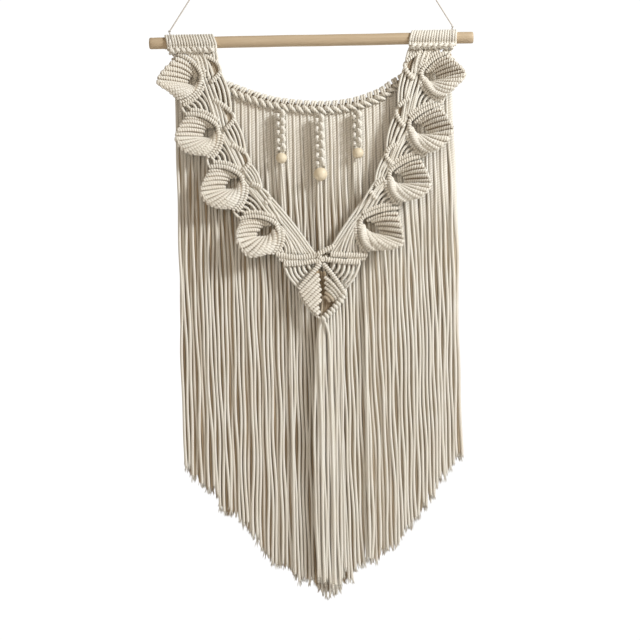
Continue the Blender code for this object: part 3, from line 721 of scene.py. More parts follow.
def leaf_lines(leaf):
    """Returns flat(phi, r), the plane lines of the leaf's rows, and surf(phi, r), the
    same lines with their depth. phi runs from the upper edge (0) over the tip (0.5)
    to the lower edge (1), r from the hole to the outline."""
    apex, upper, tip, low, base, hole = (np.array(p, float) for p in leaf)
    d = unit(hole - apex)
    n = np.array([-d[1], d[0]])
    if (upper - apex) @ n < 0:
        n = -n
    first = smooth([upper, tip, low, base], 24)
    first = apex + (first - apex) * 0.972
    base_y = float(arm_front(apex[1])) + 0.5
    side = 1.0 if (base - upper) @ np.array([-(tip - apex)[1], (tip - apex)[0]]) > 0 else -1.0

    def flat(phi, r):
        phi = np.clip(np.asarray(phi, float), 0, 1)
        r = np.asarray(r, float)
        upper_half = phi <= 0.5
        t = np.where(upper_half, phi / 0.5, (1 - phi) / 0.5)
        t = np.where(upper_half, t, t**0.75)
        sign = np.where(upper_half, 1.0, -1.0)
        rim = (apex + d * 1.0)[None] * (1 - t)[:, None] + hole[None] * t[:, None]
        lift = sign * (HOLE_HALF * np.sin(np.pi * t**0.86) ** 0.95 + 0.5 * (1 - t))
        rim = rim + n[None] * lift[:, None]
        place = np.where(upper_half, phi / 0.5 * 24, 24 + (phi - 0.5) / 0.5 * 48)
        edge = np.stack([np.interp(place, np.arange(len(first)), first[:, k]) for k in range(2)], 1)
        chord = unit(edge - rim)
        across = np.stack([-chord[:, 1], chord[:, 0]], 1) * side
        bow = np.where(upper_half, -BOW_TOP * (0.6 if apex[0] > 0 else 1.0) * (1 - t) ** 0.8, BOW_LOW * (1 - t) ** 0.9)
        return rim * (1 - r)[:, None] + edge * r[:, None] + across * (bow * 4 * r * (1 - r))[:, None]

    def surf(phi, r):
        phi = np.clip(np.asarray(phi, float), 0, 1)
        r = np.asarray(r, float)
        plane = flat(phi, r)
        rise = 3.0 + 13.0 * np.sin(np.pi * np.clip(phi * 0.9, 0, 1) ** 0.9) ** 1.2
        sink = 7.0 * (1 - r) ** 1.6 * np.sin(np.pi * np.minimum(phi, 1 - phi) ** 0.5)
        roll = np.where(phi > 0.5, 9.0 * np.sin(np.pi * (phi - 0.5) / 0.5 * 0.85) * np.sin(np.pi * np.clip(r, 0, 1) ** 0.8), 0.0)
        under = 4.0 * np.clip(1 - phi / 0.16, 0, 1)
        y = base_y + sink - rise * r**1.1 - roll + LEAF_THICK / 2 + under
        return np.stack([plane[:, 0], y, plane[:, 1]], 1)

    return flat, surf


def leaf_piece(name, leaf, mirror):
    flat, surf = leaf_lines(leaf)
    batch = Batch()
    up_rows, low_rows = 5, 6 if mirror else 7
    phis = [0.5 * (k + 0.5) / up_rows for k in range(up_rows)]
    phis += [0.5 + 0.5 * (k + 0.5) / low_rows for k in range(low_rows)]
    edges = [0.0] + [(a + b) / 2 for a, b in zip(phis, phis[1:])] + [1.0]
    r = np.linspace(0.0, 1.0, 26)
    area = arc = 0.0
    for i, phi in enumerate(phis):
        lo, hi = edges[i], edges[i + 1]
        mid = surf(np.full(26, phi), r)
        a, b = surf(np.full(26, lo), r), surf(np.full(26, hi), r)
        gap = np.linalg.norm(b - a, axis=1)
        upper = i < up_rows
        snug = (0.97 if mirror or i < 3 else 1.06) if upper else 1.08
        w = np.clip(gap / 2 * snug, 1.4, 5.6)
        mid_w, a_w, b_w = world(mid), world(a), world(b)
        step = np.gradient(mid_w, axis=0)
        normal = unit(np.cross(step, b_w - a_w))
        normal = np.where(normal[:, 1:2] > 0, -normal, normal)
        area += float(((gap[1:] + gap[:-1]) / 2 * np.linalg.norm(np.diff(mid, axis=0), axis=1)).sum())
        arc += float(gap[-1])
        thick = np.clip(w * 0.95, 1.6, 3.6)
        # each row overhangs the next one below it
        hitches(batch, mid_w, w, thick, slant=0.2 if not mirror else -0.2, front=normal,
                tilt=(-0.30 if not mirror else 0.30) if upper else (0.10 if mirror else -0.10),
                space="world", cap=3.6, crease=(0.6 if mirror else 0.68) if upper else 0.75, mat=6 if upper else 3)
    # the edge cord that runs round the outline, from rib to rib
    for a, b, half, pitch, crease in ((0.08, 0.50, 2.3, 5.2, 0.5), (0.50, 0.985, 3.5, 7.2, 0.28)):
        rim_phi = np.linspace(a, b, 40)
        edge = surf(rim_phi, np.full(40, 0.955))
        edge[:, 1] += 1.0 if a < 0.3 else 0.2
        hitches(batch, edge, half, 2.5, pitch=pitch, slant=0.5, sides=8, steps=2, crease=crease)
    if mirror:
        # the broad lip that closes the lower lobe, from the apex to the base corner
        along_lip = np.linspace(0.0, 1.0, 14)
        way = unit(np.array(leaf[4], float) - np.array(leaf[0], float))
        lip = surf(np.full(14, 0.975), along_lip)
        swell = 2.6 * np.sin(np.pi * along_lip) ** 0.6
        lip[:, 0] -= way[1] * swell
        lip[:, 2] += way[0] * swell
        lip[:, 1] -= 2.2
        hitches(batch, lip, np.interp(along_lip, [0, 0.2, 0.8, 1], [2.6, 3.9, 4.3, 3.4]), 2.6, pitch=3.0, slant=-0.6, sides=10, steps=3, crease=0.72, mat=1)
    # a sheet behind the rows that fills between them; its dark brown colour is painted shade seen in the gaps
    shade_backing = Batch()
    gp, gr = np.linspace(0.035, 0.98, 27), np.linspace(0.05, 0.965, 9)
    front = np.stack([world(surf(np.full(9, p), gr)) for p in gp])
    back = front.copy()
    front[..., 1] += 0.4
    back[..., 1] += 1.8
    shade_backing.grid(front, back) if not mirror else shade_backing.grid(front[::-1], back[::-1])
    piece = batch.build(f"{name}_knots", NET, "cotton", (name,))
    sheet = shade_backing.build(f"{name}_ground", M_PAINTED_SHADE, "cotton")
    reach = float(np.mean([run_of(surf(np.full(26, p), r))[-1] for p in phis]))
    return piece, sheet, area * MM * MM, (arc * MM, reach * MM)


leaf_made = {name: leaf_piece(name, leaf, "right" in name) for name, leaf in LEAVES.items()}

# ---------------------------------------------------------------- arms


def lerp(a, b, t):
    return np.asarray(a, float) * (1 - t) + np.asarray(b, float) * t


def flat_curve(a, b, bow, count=7):
    """From a to b in the plane, bowed to the left of the way by bow."""
    a, b = np.asarray(a, float), np.asarray(b, float)
    d = b - a
    size = np.linalg.norm(d)
    n = np.array([-d[1], d[0]]) / max(size, 1e-6)
    t = np.linspace(0, 1, count)[:, None]
    return a * (1 - t) + b * t + n * bow * np.sin(np.pi * t)


def lift_to(flat, offset):
    """Adds the depth of the net's middle and an offset (more is further back)."""
    flat = np.asarray(flat, float)
    y = arm_front(flat[:, 1]) + 2.5 + offset
    return np.stack([flat[:, 0], y, flat[:, 1]], 1)


def strands(batch, row_a, row_b, fs, gs, bow, r=1.9, depth=0.0, ply=True, arch=0.0, mat=0):
    """Loose cords from places fs on one row to places gs on another."""
    a_line, b_line = smooth(row_a, 8), smooth(row_b, 8)
    a_run, b_run = run_of(a_line), run_of(b_line)
    for i, (f, g) in enumerate(zip(fs, gs)):
        a = spaced(a_line, at=np.array([f * a_run[-1]]))[0][0]
        b = spaced(b_line, at=np.array([g * b_run[-1]]))[0][0]
        k = bow[i] if hasattr(bow, "__len__") else bow
        flat = flat_curve(a, b, k)
        path = lift_to(flat, depth + rng.uniform(-0.5, 0.5))
        t = np.linspace(0, 1, len(path))
        path[:, 1] += -arch * np.sin(np.pi * t) + 1.2 * (1 - np.sin(np.pi * np.clip(t, 0, 1)) ** 0.5)
        cord(batch, path, r, ply=ply, mat=mat[i % len(mat)] if isinstance(mat, tuple) else mat)


def ridge(batch, points, half=3.3, thick=3.0, depth=-0.6, pitch=3.7, slant=0.5, tilt=0.0, crease=0.5):
    slant = 0.35 * slant
    points = np.asarray(points, float)
    flat = smooth(points, 6 if len(points) < 8 else 2)
    hitches(batch, lift_to(flat, depth), half, thick, pitch=pitch, slant=slant, tilt=tilt, steps=2, cap=2.4, crease=crease)


def beside(curve, distance, away, r0=0.0, r1=1.0):
    """A plane curve moved sideways, away from a point, and cut to a share of its run."""
    d = unit(np.gradient(curve, axis=0))
    n = np.stack([-d[:, 1], d[:, 0]], 1)
    k = len(curve) // 2
    if (np.asarray(away, float) - curve[k]) @ n[k] > 0:
        n = -n
    moved = curve + n * distance
    last = len(curve) - 1
    return moved[int(round(r0 * last)): int(round(r1 * last)) + 1]


# Where the inner net starts under the rod: a row from the strap to the inner edge
INNER_TOP = {"left": ((-163.0, 17.5), (-137.5, 31.0)), "right": ((163.0, 18.5), (137.5, 35.0))}


def arm_piece(side):
    m = 1.0 if side == "left" else -1.0  # the left arm's right is the right arm's left
    batch = Batch()
    leaves = [LEAVES[f"leaf_{side}_{k}"] for k in (1, 2, 3, 4)]
    ridges = RIDGES[side]
    x_out, x_in = (-205.0, -140.0) if side == "left" else (205.5, 144.5)
    r = np.linspace(0.0, 1.0, 31)
    rows = []
    for n, leaf in enumerate(leaves):
        flat, _ = leaf_lines(leaf)
        tip = leaf[2]
        top, low = flat(np.zeros(31), r), flat(np.ones(31), r)
        rows.append({
            "top1": beside(top, 4.2, tip, 0.0, 1.0), "top2": beside(top, 10.3, tip, 0.06, 0.88), "top3": beside(top, 16.0, tip, 0.18, 0.70),
            "low1": beside(low, 2.9, tip, 0.0, 1.0), "low2": beside(low, 8.7, tip, 0.16, 0.95),
        })

    # rows along the leaves' upper and lower edges
    for n, row in enumerate(rows):
        apex = np.array(leaves[n][0], float)
        way = unit(apex - np.array(leaves[n][5], float))
        bend = np.vstack([row["top1"][::-1][:-2], apex + way * 2.6, row["low1"][2:]])
        ridge(batch, bend, 3.7, 3.3, depth=-1.9, slant=0.5 * m)
        ridge(batch, row["top2"], 3.5, 3.1, depth=-0.8, slant=0.5 * m)
        if n == 0:
            ridge(batch, row["top3"], 3.1, 2.8, depth=0.0, slant=0.5 * m)
        ridge(batch, row["low2"], 3.5, 3.0, depth=-0.6, slant=-0.5 * m)

    # cords from the strap to the first rows
    strap_row = [np.array([x_out, 12.5]), np.array([x_in, 12.5])]
    first_top = rows[0]["top3"][::-1]
    strands(batch, strap_row, first_top, np.linspace(0.08, 0.50, 7), np.linspace(0.02, 0.96, 7), 0.0, r=2.0, depth=0.6)
    strands(batch, strap_row, [np.array(INNER_TOP[side][0]), np.array(INNER_TOP[side][1])], np.linspace(0.66, 0.99, 6), np.linspace(0.02, 0.98, 6), -1.0 * m, r=2.0, depth=0.2)
    strands(batch, strap_row, [np.array(INNER_TOP[side][0]), np.array(INNER_TOP[side][1])], np.linspace(0.62, 0.96, 6), np.linspace(0.0, 0.94, 6), -0.6 * m, r=2.4, depth=3.4)

    # cords set back under the first rows, coloured with painted recess shade
    strands(batch, strap_row, first_top, np.linspace(0.10, 0.56, 8), np.linspace(0.0, 1.0, 8), 0.0, r=2.5, depth=4.2, mat=2)
    for k in range(3):
        a = np.array([x_out - (1.0 - 4.2 * k) * m, 11.0])
        b = np.array(leaves[0][1], float) + np.array([(0.5 + 3.6 * k) * m, 2.5 - 2.6 * k])
        cord(batch, lift_to(flat_curve(a, b, 0.6 * m, 5), 0.8), 2.1, ply=True)

    # the spine: three long cords from apex to apex
    spine = [np.array(leaf[0], float) + np.array([7.2 * m, 0.0]) for leaf in leaves]
    chain = [lerp(*strap_row, 0.585)] + spine
    for seg in range(4):
        a, b = chain[seg], chain[seg + 1]
        d = unit(b - a)
        n = np.array([-d[1], d[0]])
        if n[0] * m < 0:
            n = -n
        for j, off in enumerate((-4.3, 0.0, 4.3) if side == "left" else (-5.3, 0.0, 5.3)):
            p, q = a + n * off, b + n * off
            path = lift_to(flat_curve(p, q, (-0.4, -1.6, -3.0)[j] * m), -0.9 + 0.5 * (j % 2) + rng.uniform(-0.3, 0.3))
            path[:, 1] += 1.4 * np.cos(2 * np.pi * np.linspace(0, 1, len(path)))
            cord(batch, path, 2.1 if side == "left" else 2.0, ply=True)
        # darker cords behind the right spine: painted shade in its gaps
        if side == "right":
            for off in (-2.6, 2.6):
                path = lift_to(flat_curve(a + n * off, b + n * off, -1.5 * m), 4.0)
                cord(batch, path, 2.0, ply=True, mat=5)

    # fans between the leaves: cords that touch at both ends and open in the middle
    for n in range(3):
        a, b = rows[n]["low2"], rows[n + 1]["top2"]
        count = 6
        fs, gs = np.linspace(0.02, 0.97, count), np.linspace(0.06, 0.97, count)
        bows = [-m * (1.8 + 1.4 * math.sin(math.pi * k / (count - 1))) for k in range(count)]
        strands(batch, a, b, fs, gs, bows, r=1.98, depth=-0.1, arch=1.2)
        # the outermost cord passes from row to row at the edge
        strands(batch, rows[n]["low1"], rows[n + 1]["top1"], (0.97,), (0.97,), 1.4 * m, r=2.1, depth=0.8)

    # the inner net: ridges, the small fans between them and the recessed pockets
    prev = [np.array(INNER_TOP[side][0]), np.array(INNER_TOP[side][1])]
    ridge(batch, [prev[0], lerp(prev[0], prev[1], 0.5) + np.array([0.8 * m, -0.6]), prev[1]], 3.3, 3.0, depth=-1.0, slant=0.5 * m)
    for n, (i0, j0, k0, l0) in enumerate(ridges):
        first = [np.array(j0, float), lerp(j0, i0, 0.5) + np.array([0.6 * m, 0.6]), np.array(i0, float)]
        # pocket above the ridge: cords set back, coloured with painted shade
        strands(batch, prev, first, np.linspace(0.04, 0.96, 6), np.linspace(0.0, 0.96, 6), -1.0 * m, depth=4.2, r=2.05, mat=(2, 4, 2) if side == "left" else (4, 2, 5))
        strands(batch, prev, first, (0.06, 0.30), (0.02, 0.26), (-0.6 * m, -1.4 * m), depth=0.4, r=2.05)
        strands(batch, prev, first, (0.90, 0.99, 1.06), (0.84, 0.97, 1.07), (-2.0 * m, -1.2 * m, -1.0 * m), depth=1.2, r=2.1)
        ridge(batch, first, 3.9, 3.3, depth=-2.4, slant=-0.5 * m)
        if k0 is None:
            break
        second = [np.array(k0, float), lerp(k0, l0, 0.5) + np.array([0.8 * m, -0.8]), np.array(l0, float)]
        strands(batch, first, second, (0.06, 0.36, 0.66, 0.96), (0.10, 0.38, 0.68, 0.97), [-1.0 * m, -2.0 * m, -2.8 * m, -3.4 * m], depth=-0.2, arch=0.8, r=2.15 if side == "left" else 1.9)
        # cords set back behind the fan, coloured with painted deep shade
        strands(batch, first, second, (0.20, 0.50, 0.80), (0.24, 0.52, 0.82), [-1.4 * m, -2.3 * m, -3.0 * m], depth=4.2, r=2.3, mat=5)
        ridge(batch, second, 3.9, 3.3, depth=-2.4, slant=0.5 * m)
        prev = second

    # down to the foot of the V
    i0, j0 = np.array(ridges[3][0]), np.array(ridges[3][1])
    foot_in = np.array([-1.0, 313.5]) if side == "left" else np.array([18.5, 312.5])
    foot_out = np.array([-57.0, 313.5]) if side == "left" else np.array([77.0, 314.0])
    foot_row = [foot_out, lerp(foot_out, foot_in, 0.5), foot_in]
    strands(batch, [j0, i0], [lerp(foot_out, foot_in, 0.78), foot_in], (0.0, 0.33, 0.67, 1.0), (0.0, 0.34, 0.68, 1.0), -2.0 * m, depth=0.6, r=2.1)
    d = np.array([3.9 * m, 0])
    strands(batch, [spine[3] - d, spine[3] + d], [lerp(foot_out, foot_in, 0.52), lerp(foot_out, foot_in, 0.70)],
            (0.0, 0.5, 1.0), (0.0, 0.5, 1.0), -2.6 * m, depth=-0.2, r=2.15)
    strands(batch, rows[3]["low2"], foot_row, (0.0, 0.24, 0.48, 0.72, 0.96), (0.44, 0.345, 0.25, 0.155, 0.05), [-2.6 * m, -2.6 * m, -2.4 * m, -2.0 * m, -1.2 * m],
            arch=1.0, r=2.0)
    return batch.build(f"arm_{side}_net", NET, "cotton", (f"arm_{side}",))


arms = {side: arm_piece(side) for side in ("left", "right")}

for name, (piece, sheet, area, (width, length)) in leaf_made.items():
    arms["right" if "right" in name else "left"]

# ---------------------------------------------------------------- junction and centre leaf


def junction_piece():
    batch = Batch()
    rows = (
        [(-58.0, 312.8), (-28.0, 317.8), (1.0, 316.2)],
        [(-47.0, 327.4), (-22.0, 326.6), (5.0, 323.0)],
        [(77.0, 316.0), (50.0, 316.2), (21.5, 314.5)],
        [(66.0, 326.8), (43.0, 325.2), (14.0, 321.8)],
    )
    for k, row in enumerate(rows):
        ridge(batch, row, 4.7, 3.8, depth=-1.2 - 0.5 * (k % 2), slant=0.4 if k < 2 else -0.4)
    ridge(batch, [(-54.0, 319.6), (-42.0, 322.0), (-24.0, 322.6)], 3.8, 3.2, depth=0.4, slant=0.4)
    ridge(batch, [(74.0, 321.6), (62.0, 321.8), (46.0, 321.2)], 3.2, 3.0, depth=0.6, slant=-0.4)
    ridge(batch, [(-3.0, 312.0), (6.0, 318.0), (13.5, 325.0)], 4.0, 3.6, depth=-2.4)
    ridge(batch, [(28.0, 302.0), (16.0, 308.0), (3.0, 314.0)], 4.2, 3.8, depth=-3.6, slant=-0.5)
    ridge(batch, [(17.5, 318.0), (10.0, 322.0), (2.0, 329.0)], 3.9, 3.6, depth=-2.8, slant=-0.5)
    left_edge = [(-26.5, 360.5), (-18.0, 351.0), (-3.0, 338.0)]
    right_edge = [(43.5, 364.0), (33.0, 350.0), (20.0, 337.5)]
    strands(batch, rows[1], left_edge, (0.02, 0.18, 0.31, 0.44, 0.56, 0.69), (-0.05, 0.14, 0.34, 0.54, 0.74, 0.95),
            [3.0, 3.6, 4.0, 3.8, 3.2, 2.0], arch=1.0, r=2.25)
    strands(batch, rows[3], right_edge, (0.02, 0.18, 0.32, 0.46, 0.60, 0.74), (-0.05, 0.14, 0.34, 0.54, 0.74, 0.95),
            [-3.0, -3.6, -4.0, -3.8, -3.2, -2.0], arch=1.0, r=2.25)
    return batch.build("junction_knots", NET, "cotton", ("junction",))


junction_piece()


def centre_leaf_piece():
    batch = Batch()
    base_y = float(arm_front(360)) + 1.0
    top, left, right, bottom = (np.array(p, float) for p in ((8.8, 331.5), (-26.0, 361.5), (43.0, 369.0), (8.0, 409.5)))

    def row(a, b, lift_a, lift_b, half, tilt, slant, thick=3.0, bow=0.0, crease=0.8, mat=3):
        flat = smooth(flat_curve(a, b, bow, 5), 4)
        t = np.linspace(0, 1, len(flat))
        y = base_y - (lift_a * (1 - t) + lift_b * t) - 1.4 * np.sin(np.pi * t)
        hitches(batch, np.stack([flat[:, 0], y, flat[:, 1]], 1), half, thick, slant=slant, tilt=tilt, steps=2, cap=2.6, crease=crease, mat=mat)

    # left half: rows side by side, from the slit to the lower left edge
    d = unit(left - top)
    n = np.array([-d[1], d[0]])
    if n[1] < 0:
        n = -n
    low_edge = smooth([left + [-1.0, 1.0], (-22.0, 376.0), (-14.0, 388.5), (-4.0, 400.0), bottom], 8)
    slit = np.array([(7.6, 328.0), (6.8, 340.0), (7.4, 348.0), (7.0, 354.0), (7.8, 362.0), (8.6, 374.0), (7.4, 381.0), (4.4, 388.0), (4.4, 395.0), (6.6, 405.0), (8.0, 409.5)])

    def crossing(start, line):
        """Where the way d from start first meets a line, as a distance along d."""
        found = []
        for p, q in zip(line[:-1], line[1:]):
            e = q - p
            mat = np.array([[d[0], -e[0]], [d[1], -e[1]]])
            if abs(np.linalg.det(mat)) < 1e-9:
                continue
            u, v = np.linalg.solve(mat, p - start)
            if -0.02 <= v <= 1.02:
                found.append(u)
        return found

    for k in range(10):
        start = top + n * (2.6 + 5.55 * k) - d * 60.0
        near, far = crossing(start, slit), crossing(start, low_edge)
        if not near or not far:
            continue
        a, b = start + d * (min(near) + (0.8 if k % 2 else -0.4)), start + d * (max(far) - 0.6)
        if k == 0:
            a = np.array([8.6, 326.4])
        if np.linalg.norm(b - a) < 7.0:
            continue
        if k:
            a = a - n * 2.6 * max(0.0, 1 - (k - 1) / 6)
        row(a, b, 2.4 if k else 3.6, 5.6, 3.5 if k else 4.0, 0.12, 0.2, crease=0.72 if k else 0.5, mat=3 if k else 1)
    # right half: rows that step back under each other
    e = unit(right - top)
    n = np.array([-e[1], e[0]])
    if n[0] > 0:
        n = -n
    size = np.linalg.norm(right - top)
    for k, (skip, stop, lift) in enumerate(((2.0, -1.0, 5.0), (14.0, 0.0, 3.2), (19.5, 0.5, 1.6), (25.0, -0.5, 0.2), (30.5, 0.5, -1.0), (34.0, 4.0, -2.2))):
        a, b = top + n * (2.4 + 5.0 * k) + e * skip, top + n * (2.4 + 5.0 * k) + e * (size - stop)
        if k == 0:
            a = np.array([10.8, 327.4])
        if (b - a) @ e < 6:
            continue
        # the two lowest rows take the painted recess shade copy
        row(a, b, lift, lift + (1.2 if k < 2 else 0.8), 3.9 if k == 0 else 3.1, -0.30, -0.2, bow=-1.4, crease=0.7 if k else 0.55, mat=(1, 3, 3, 3, 2, 2)[k])
    # behind the slit: dark brown cords of painted shade
    for off in (-2.4, 2.6):
        cord(batch, [(9.5 + off, base_y + 4.6, 338.0), (10.5 + off, base_y + 5.4, 356.0), (10.5 + off, base_y + 5.0, 384.0)], 3.0, mat=5, step=5.0)
    # cords that leave the inner rows and gather behind the open corner, coloured with painted shade
    for k in range(7):
        f = k / 6.0
        a, b = lerp((10.0, 374.0), (33.0, 380.0), f), lerp((7.0, 408.0), (17.5, 402.5), f)
        path = np.array([(a[0], base_y + 3.0, a[1]), (*lerp(a, b, 0.5)[:1] + 1.5 * f, base_y + 4.6, lerp(a, b, 0.5)[1]), (b[0], base_y + 2.5, b[1])])
        cord(batch, path, 2.2, ply=True, mat=2 if k == 0 else 5 if k % 3 == 1 else 4)
    # the edge chain on both lower sides
    y = np.full(len(low_edge[3:]), base_y - 3.6)
    hitches(batch, np.stack([low_edge[3:, 0], y, low_edge[3:, 1]], 1), 2.3, 2.3, pitch=4.6, slant=0.6, steps=2, cap=2.4, crease=0.42)
    chain = smooth([right + [-0.5, 1.5], (36.0, 382.5), (24.5, 396.5), bottom + [1.5, 0.5]], 8)
    places = spaced(chain, at=np.linspace(1.5, run_of(chain)[-1] - 1.5, 9))[0]
    for k, (px, pd) in enumerate(places):
        wob = rng.uniform(-0.5, 0.5)
        cord(batch, [(px - 3.4, base_y - 1.6, pd - 4.6 + wob), (px - 1.6, base_y - 5.4, pd - 2.8), (px + 0.8, base_y - 5.8, pd + 0.2 + wob), (px + 2.6, base_y - 3.2, pd + 2.4)],
             2.7, ply=True, steps=6, profile=[0.75, 1.1, 1.15, 0.8], cap=2.8)
    # a backing sheet behind the left half, coloured dark brown as painted shade
    outline_a = [(6.5, 336.0), (6.2, 347.0), (6.6, 360.0), (6.6, 374.0), (4.0, 386.0), (4.6, 396.0)]
    outline_b = [(5.0, 335.0), (-10.0, 348.0), (-24.5, 361.0), (-18.5, 380.0), (-8.0, 394.0), (3.0, 405.0)]
    gr = np.linspace(0.05, 0.95, 7)
    front = np.array([[(*lerp(a, b, t)[:1], base_y - 0.6 - 2.6 * t, lerp(a, b, t)[1]) for t in gr] for a, b in zip(outline_a, outline_b)])
    back = front.copy()
    back[..., 1] += 1.4
    batch.grid(world(front), world(back), mat=4)
    return batch.build("leaf_centre_knots", NET, "cotton", ("leaf_centre",))


centre_leaf_piece()

# ---------------------------------------------------------------- straps


def strap_piece(side):
    left, right, string_x = STRAPS[side]
    batch = Batch()
    count = 18
    pitch = (right - left) / count
    target = (-209.0, -139.5) if side == "left" else (144.0, 210.5)
    rr = ROD_RADIUS + 2.1
    for i in range(count):
        x = left + (i + 0.5) * pitch
        if abs(x - string_x) < pitch * 0.75:  # room for the string between two cords
            x += math.copysign(0.55, x - string_x)
        xb = target[0] + (target[1] - target[0]) * i / (count - 1)
        lay = rng.uniform(-0.25, 0.25)
        route = []
        for degrees in list(range(-124, 120, 12)) + [128]:
            a = math.radians(degrees)
            k = min(1.0, max(0.0, degrees / 128.0))
            route.append((x + lay + (xb - x) * k * k * (3 - 2 * k), -rr * math.sin(a), -rr * math.cos(a)))
        route.append((xb, -9.1, 10.2))
        route.append((xb, -9.4, 13.5))
        cord(batch, route, 2.05, ply=True, steps=2, front=(1.0, 0.0, 0.0))
    # the loops of the lark's heads lie across the back
    for i in range(count // 2):
        x0, x1 = left + (2 * i + 0.5) * pitch, left + (2 * i + 1.5) * pitch
        cord(batch, [(x0 - 1.4, 9.0, 6.6), (x0 - 0.8, 12.6, 5.0), ((x0 + x1) / 2, 13.6, 4.2), (x1 + 0.8, 12.6, 5.0), (x1 + 1.4, 9.0, 6.6)],
             2.0, ply=True, front=(0.0, 0.0, 1.0))
    # the knots below the rod, one for each pair of cords, over a cord that runs behind them; that cord's dark brown is
    # painted shade
    x0, x1 = target
    cord(batch, [(x0 + 2.0, -6.2, 12.8), ((x0 + x1) / 2, -6.4, 13.2), (x1 - 2.0, -6.2, 12.8)], 3.3, mat=4, sides=8, step=5.0)
    step = (x1 - x0) / 8.6
    lean = 1.0 if side == "left" else -1.0
    for i in range(8):
        xk = x0 + (i + 0.62) * step + rng.uniform(-0.4, 0.4)
        dip = rng.uniform(-0.5, 0.7)
        cord(batch, [(xk - 4.6 * lean, -7.6, 11.6 + dip), (xk - 3.2 * lean, -12.0, 11.0 + dip), (xk, -14.4, 12.4 + dip), (xk + 3.2 * lean, -12.6, 14.4 + dip), (xk + 4.4 * lean, -8.6, 15.6 + dip)],
             2.8, ply=True, steps=6, profile=[0.7, 1.0, 1.1, 1.0, 0.7])
        cord(batch, [(xk + 4.4 * lean, -8.2, 11.2 + dip), (xk + 2.6 * lean, -11.0, 12.6 + dip), (xk - 1.2 * lean, -11.8, 15.4 + dip), (xk - 3.8 * lean, -9.0, 17.2 + dip)],
             2.3, ply=True, steps=6)
    return batch.build(f"strap_{side}_loops", NET, "cotton", (f"strap_{side}",))


for side in STRAPS:
    strap_piece(side)

# ---------------------------------------------------------------- swag braid


def swag_line():
    line = smooth([(float(x), 0.0, float(d)) for x, d in SWAG], 24)
    return line


def swag_piece():
    batch = Batch()
    line = swag_line()
    run = run_of(line)
    count = int(round(run[-1] / 10.7))
    middle_y = 5.0

    def at(s, up, y):
        """A place on the braid: s along, up above its middle line."""
        s = np.clip(s, 0, run[-1])
        p = spaced(line, at=np.array([s]))[0][0]
        q = spaced(line, at=np.array([min(s + 1.0, run[-1])]))[0][0]
        o = spaced(line, at=np.array([max(s - 1.0, 0.0)]))[0][0]
        d = unit(q - o)
        return (p[0] + d[2] * up, y, p[2] - d[0] * up)

    # the carrier behind the braid is coloured dark brown as painted shade
    core = [at(s, 1.5, middle_y + 1.6) for s in np.linspace(0.0, run[-1], 60)]
    cord(batch, core, 3.6, sides=10, step=4.0, steps=2, mat=4)
    low_core = [at(s, -6.4, middle_y + 1.6) for s in np.linspace(1.0, run[-1] - 1.0, 60)]
    cord(batch, low_core, 2.8, sides=8, step=4.0, steps=2)
    pitch = run[-1] / count
    my = middle_y
    for i in range(count):
        s = (i + 0.5) * pitch
        x = at(s, 0, 0)[0]
        wob = rng.uniform(-0.35, 0.35, 4)
        # the bar of each lark's head: a round shoulder, then a pointed strand under the next one
        bar = [at(s - 6.4, 0.2, my + 0.2), at(s - 5.2, 0.2 + wob[0], my - 4.2), at(s - 2.0, -1.6, my - 6.6),
               at(s + 1.8, -4.3, my - 6.9), at(s + 5.2, -7.0 + wob[1], my - 5.6), at(s + 8.0, -9.0, my - 2.4)]
        cord(batch, bar, 2.7, ply=True, steps=6, cap=3.2, profile=[0.8, 1.1, 1.2, 1.15, 1.0, 0.8, 0.55])
        # its two legs, over the carrier and down behind
        for k, off in enumerate((-3.0, 1.2)):
            lean = 1.1 + wob[2 + k]
            cord(
                batch,
                [at(s + off - 1.4, -1.5, my - 3.4), at(s + off - 0.9, 2.2, my - 5.0), at(s + off, 5.8, my - 4.8),
                 at(s + off + lean * 0.7, 8.6, my - 1.4), at(s + off + lean, 8.4, my + 3.4), at(s + off + lean, 3.2, my + 6.2),
                 at(s + off + lean, -3.0, my + 6.2), at(s + off + lean * 0.6, -7.0, my + 4.4)],
                2.4, ply=True, steps=5, profile=[0.5, 0.7, 1.05, 1.08, 1.0, 1.0, 1.0, 1.0],
            )
    return batch.build("swag_braid_cords", NET, "cotton", ("swag_braid",))


swag_piece()

# ---------------------------------------------------------------- sinnets, tails


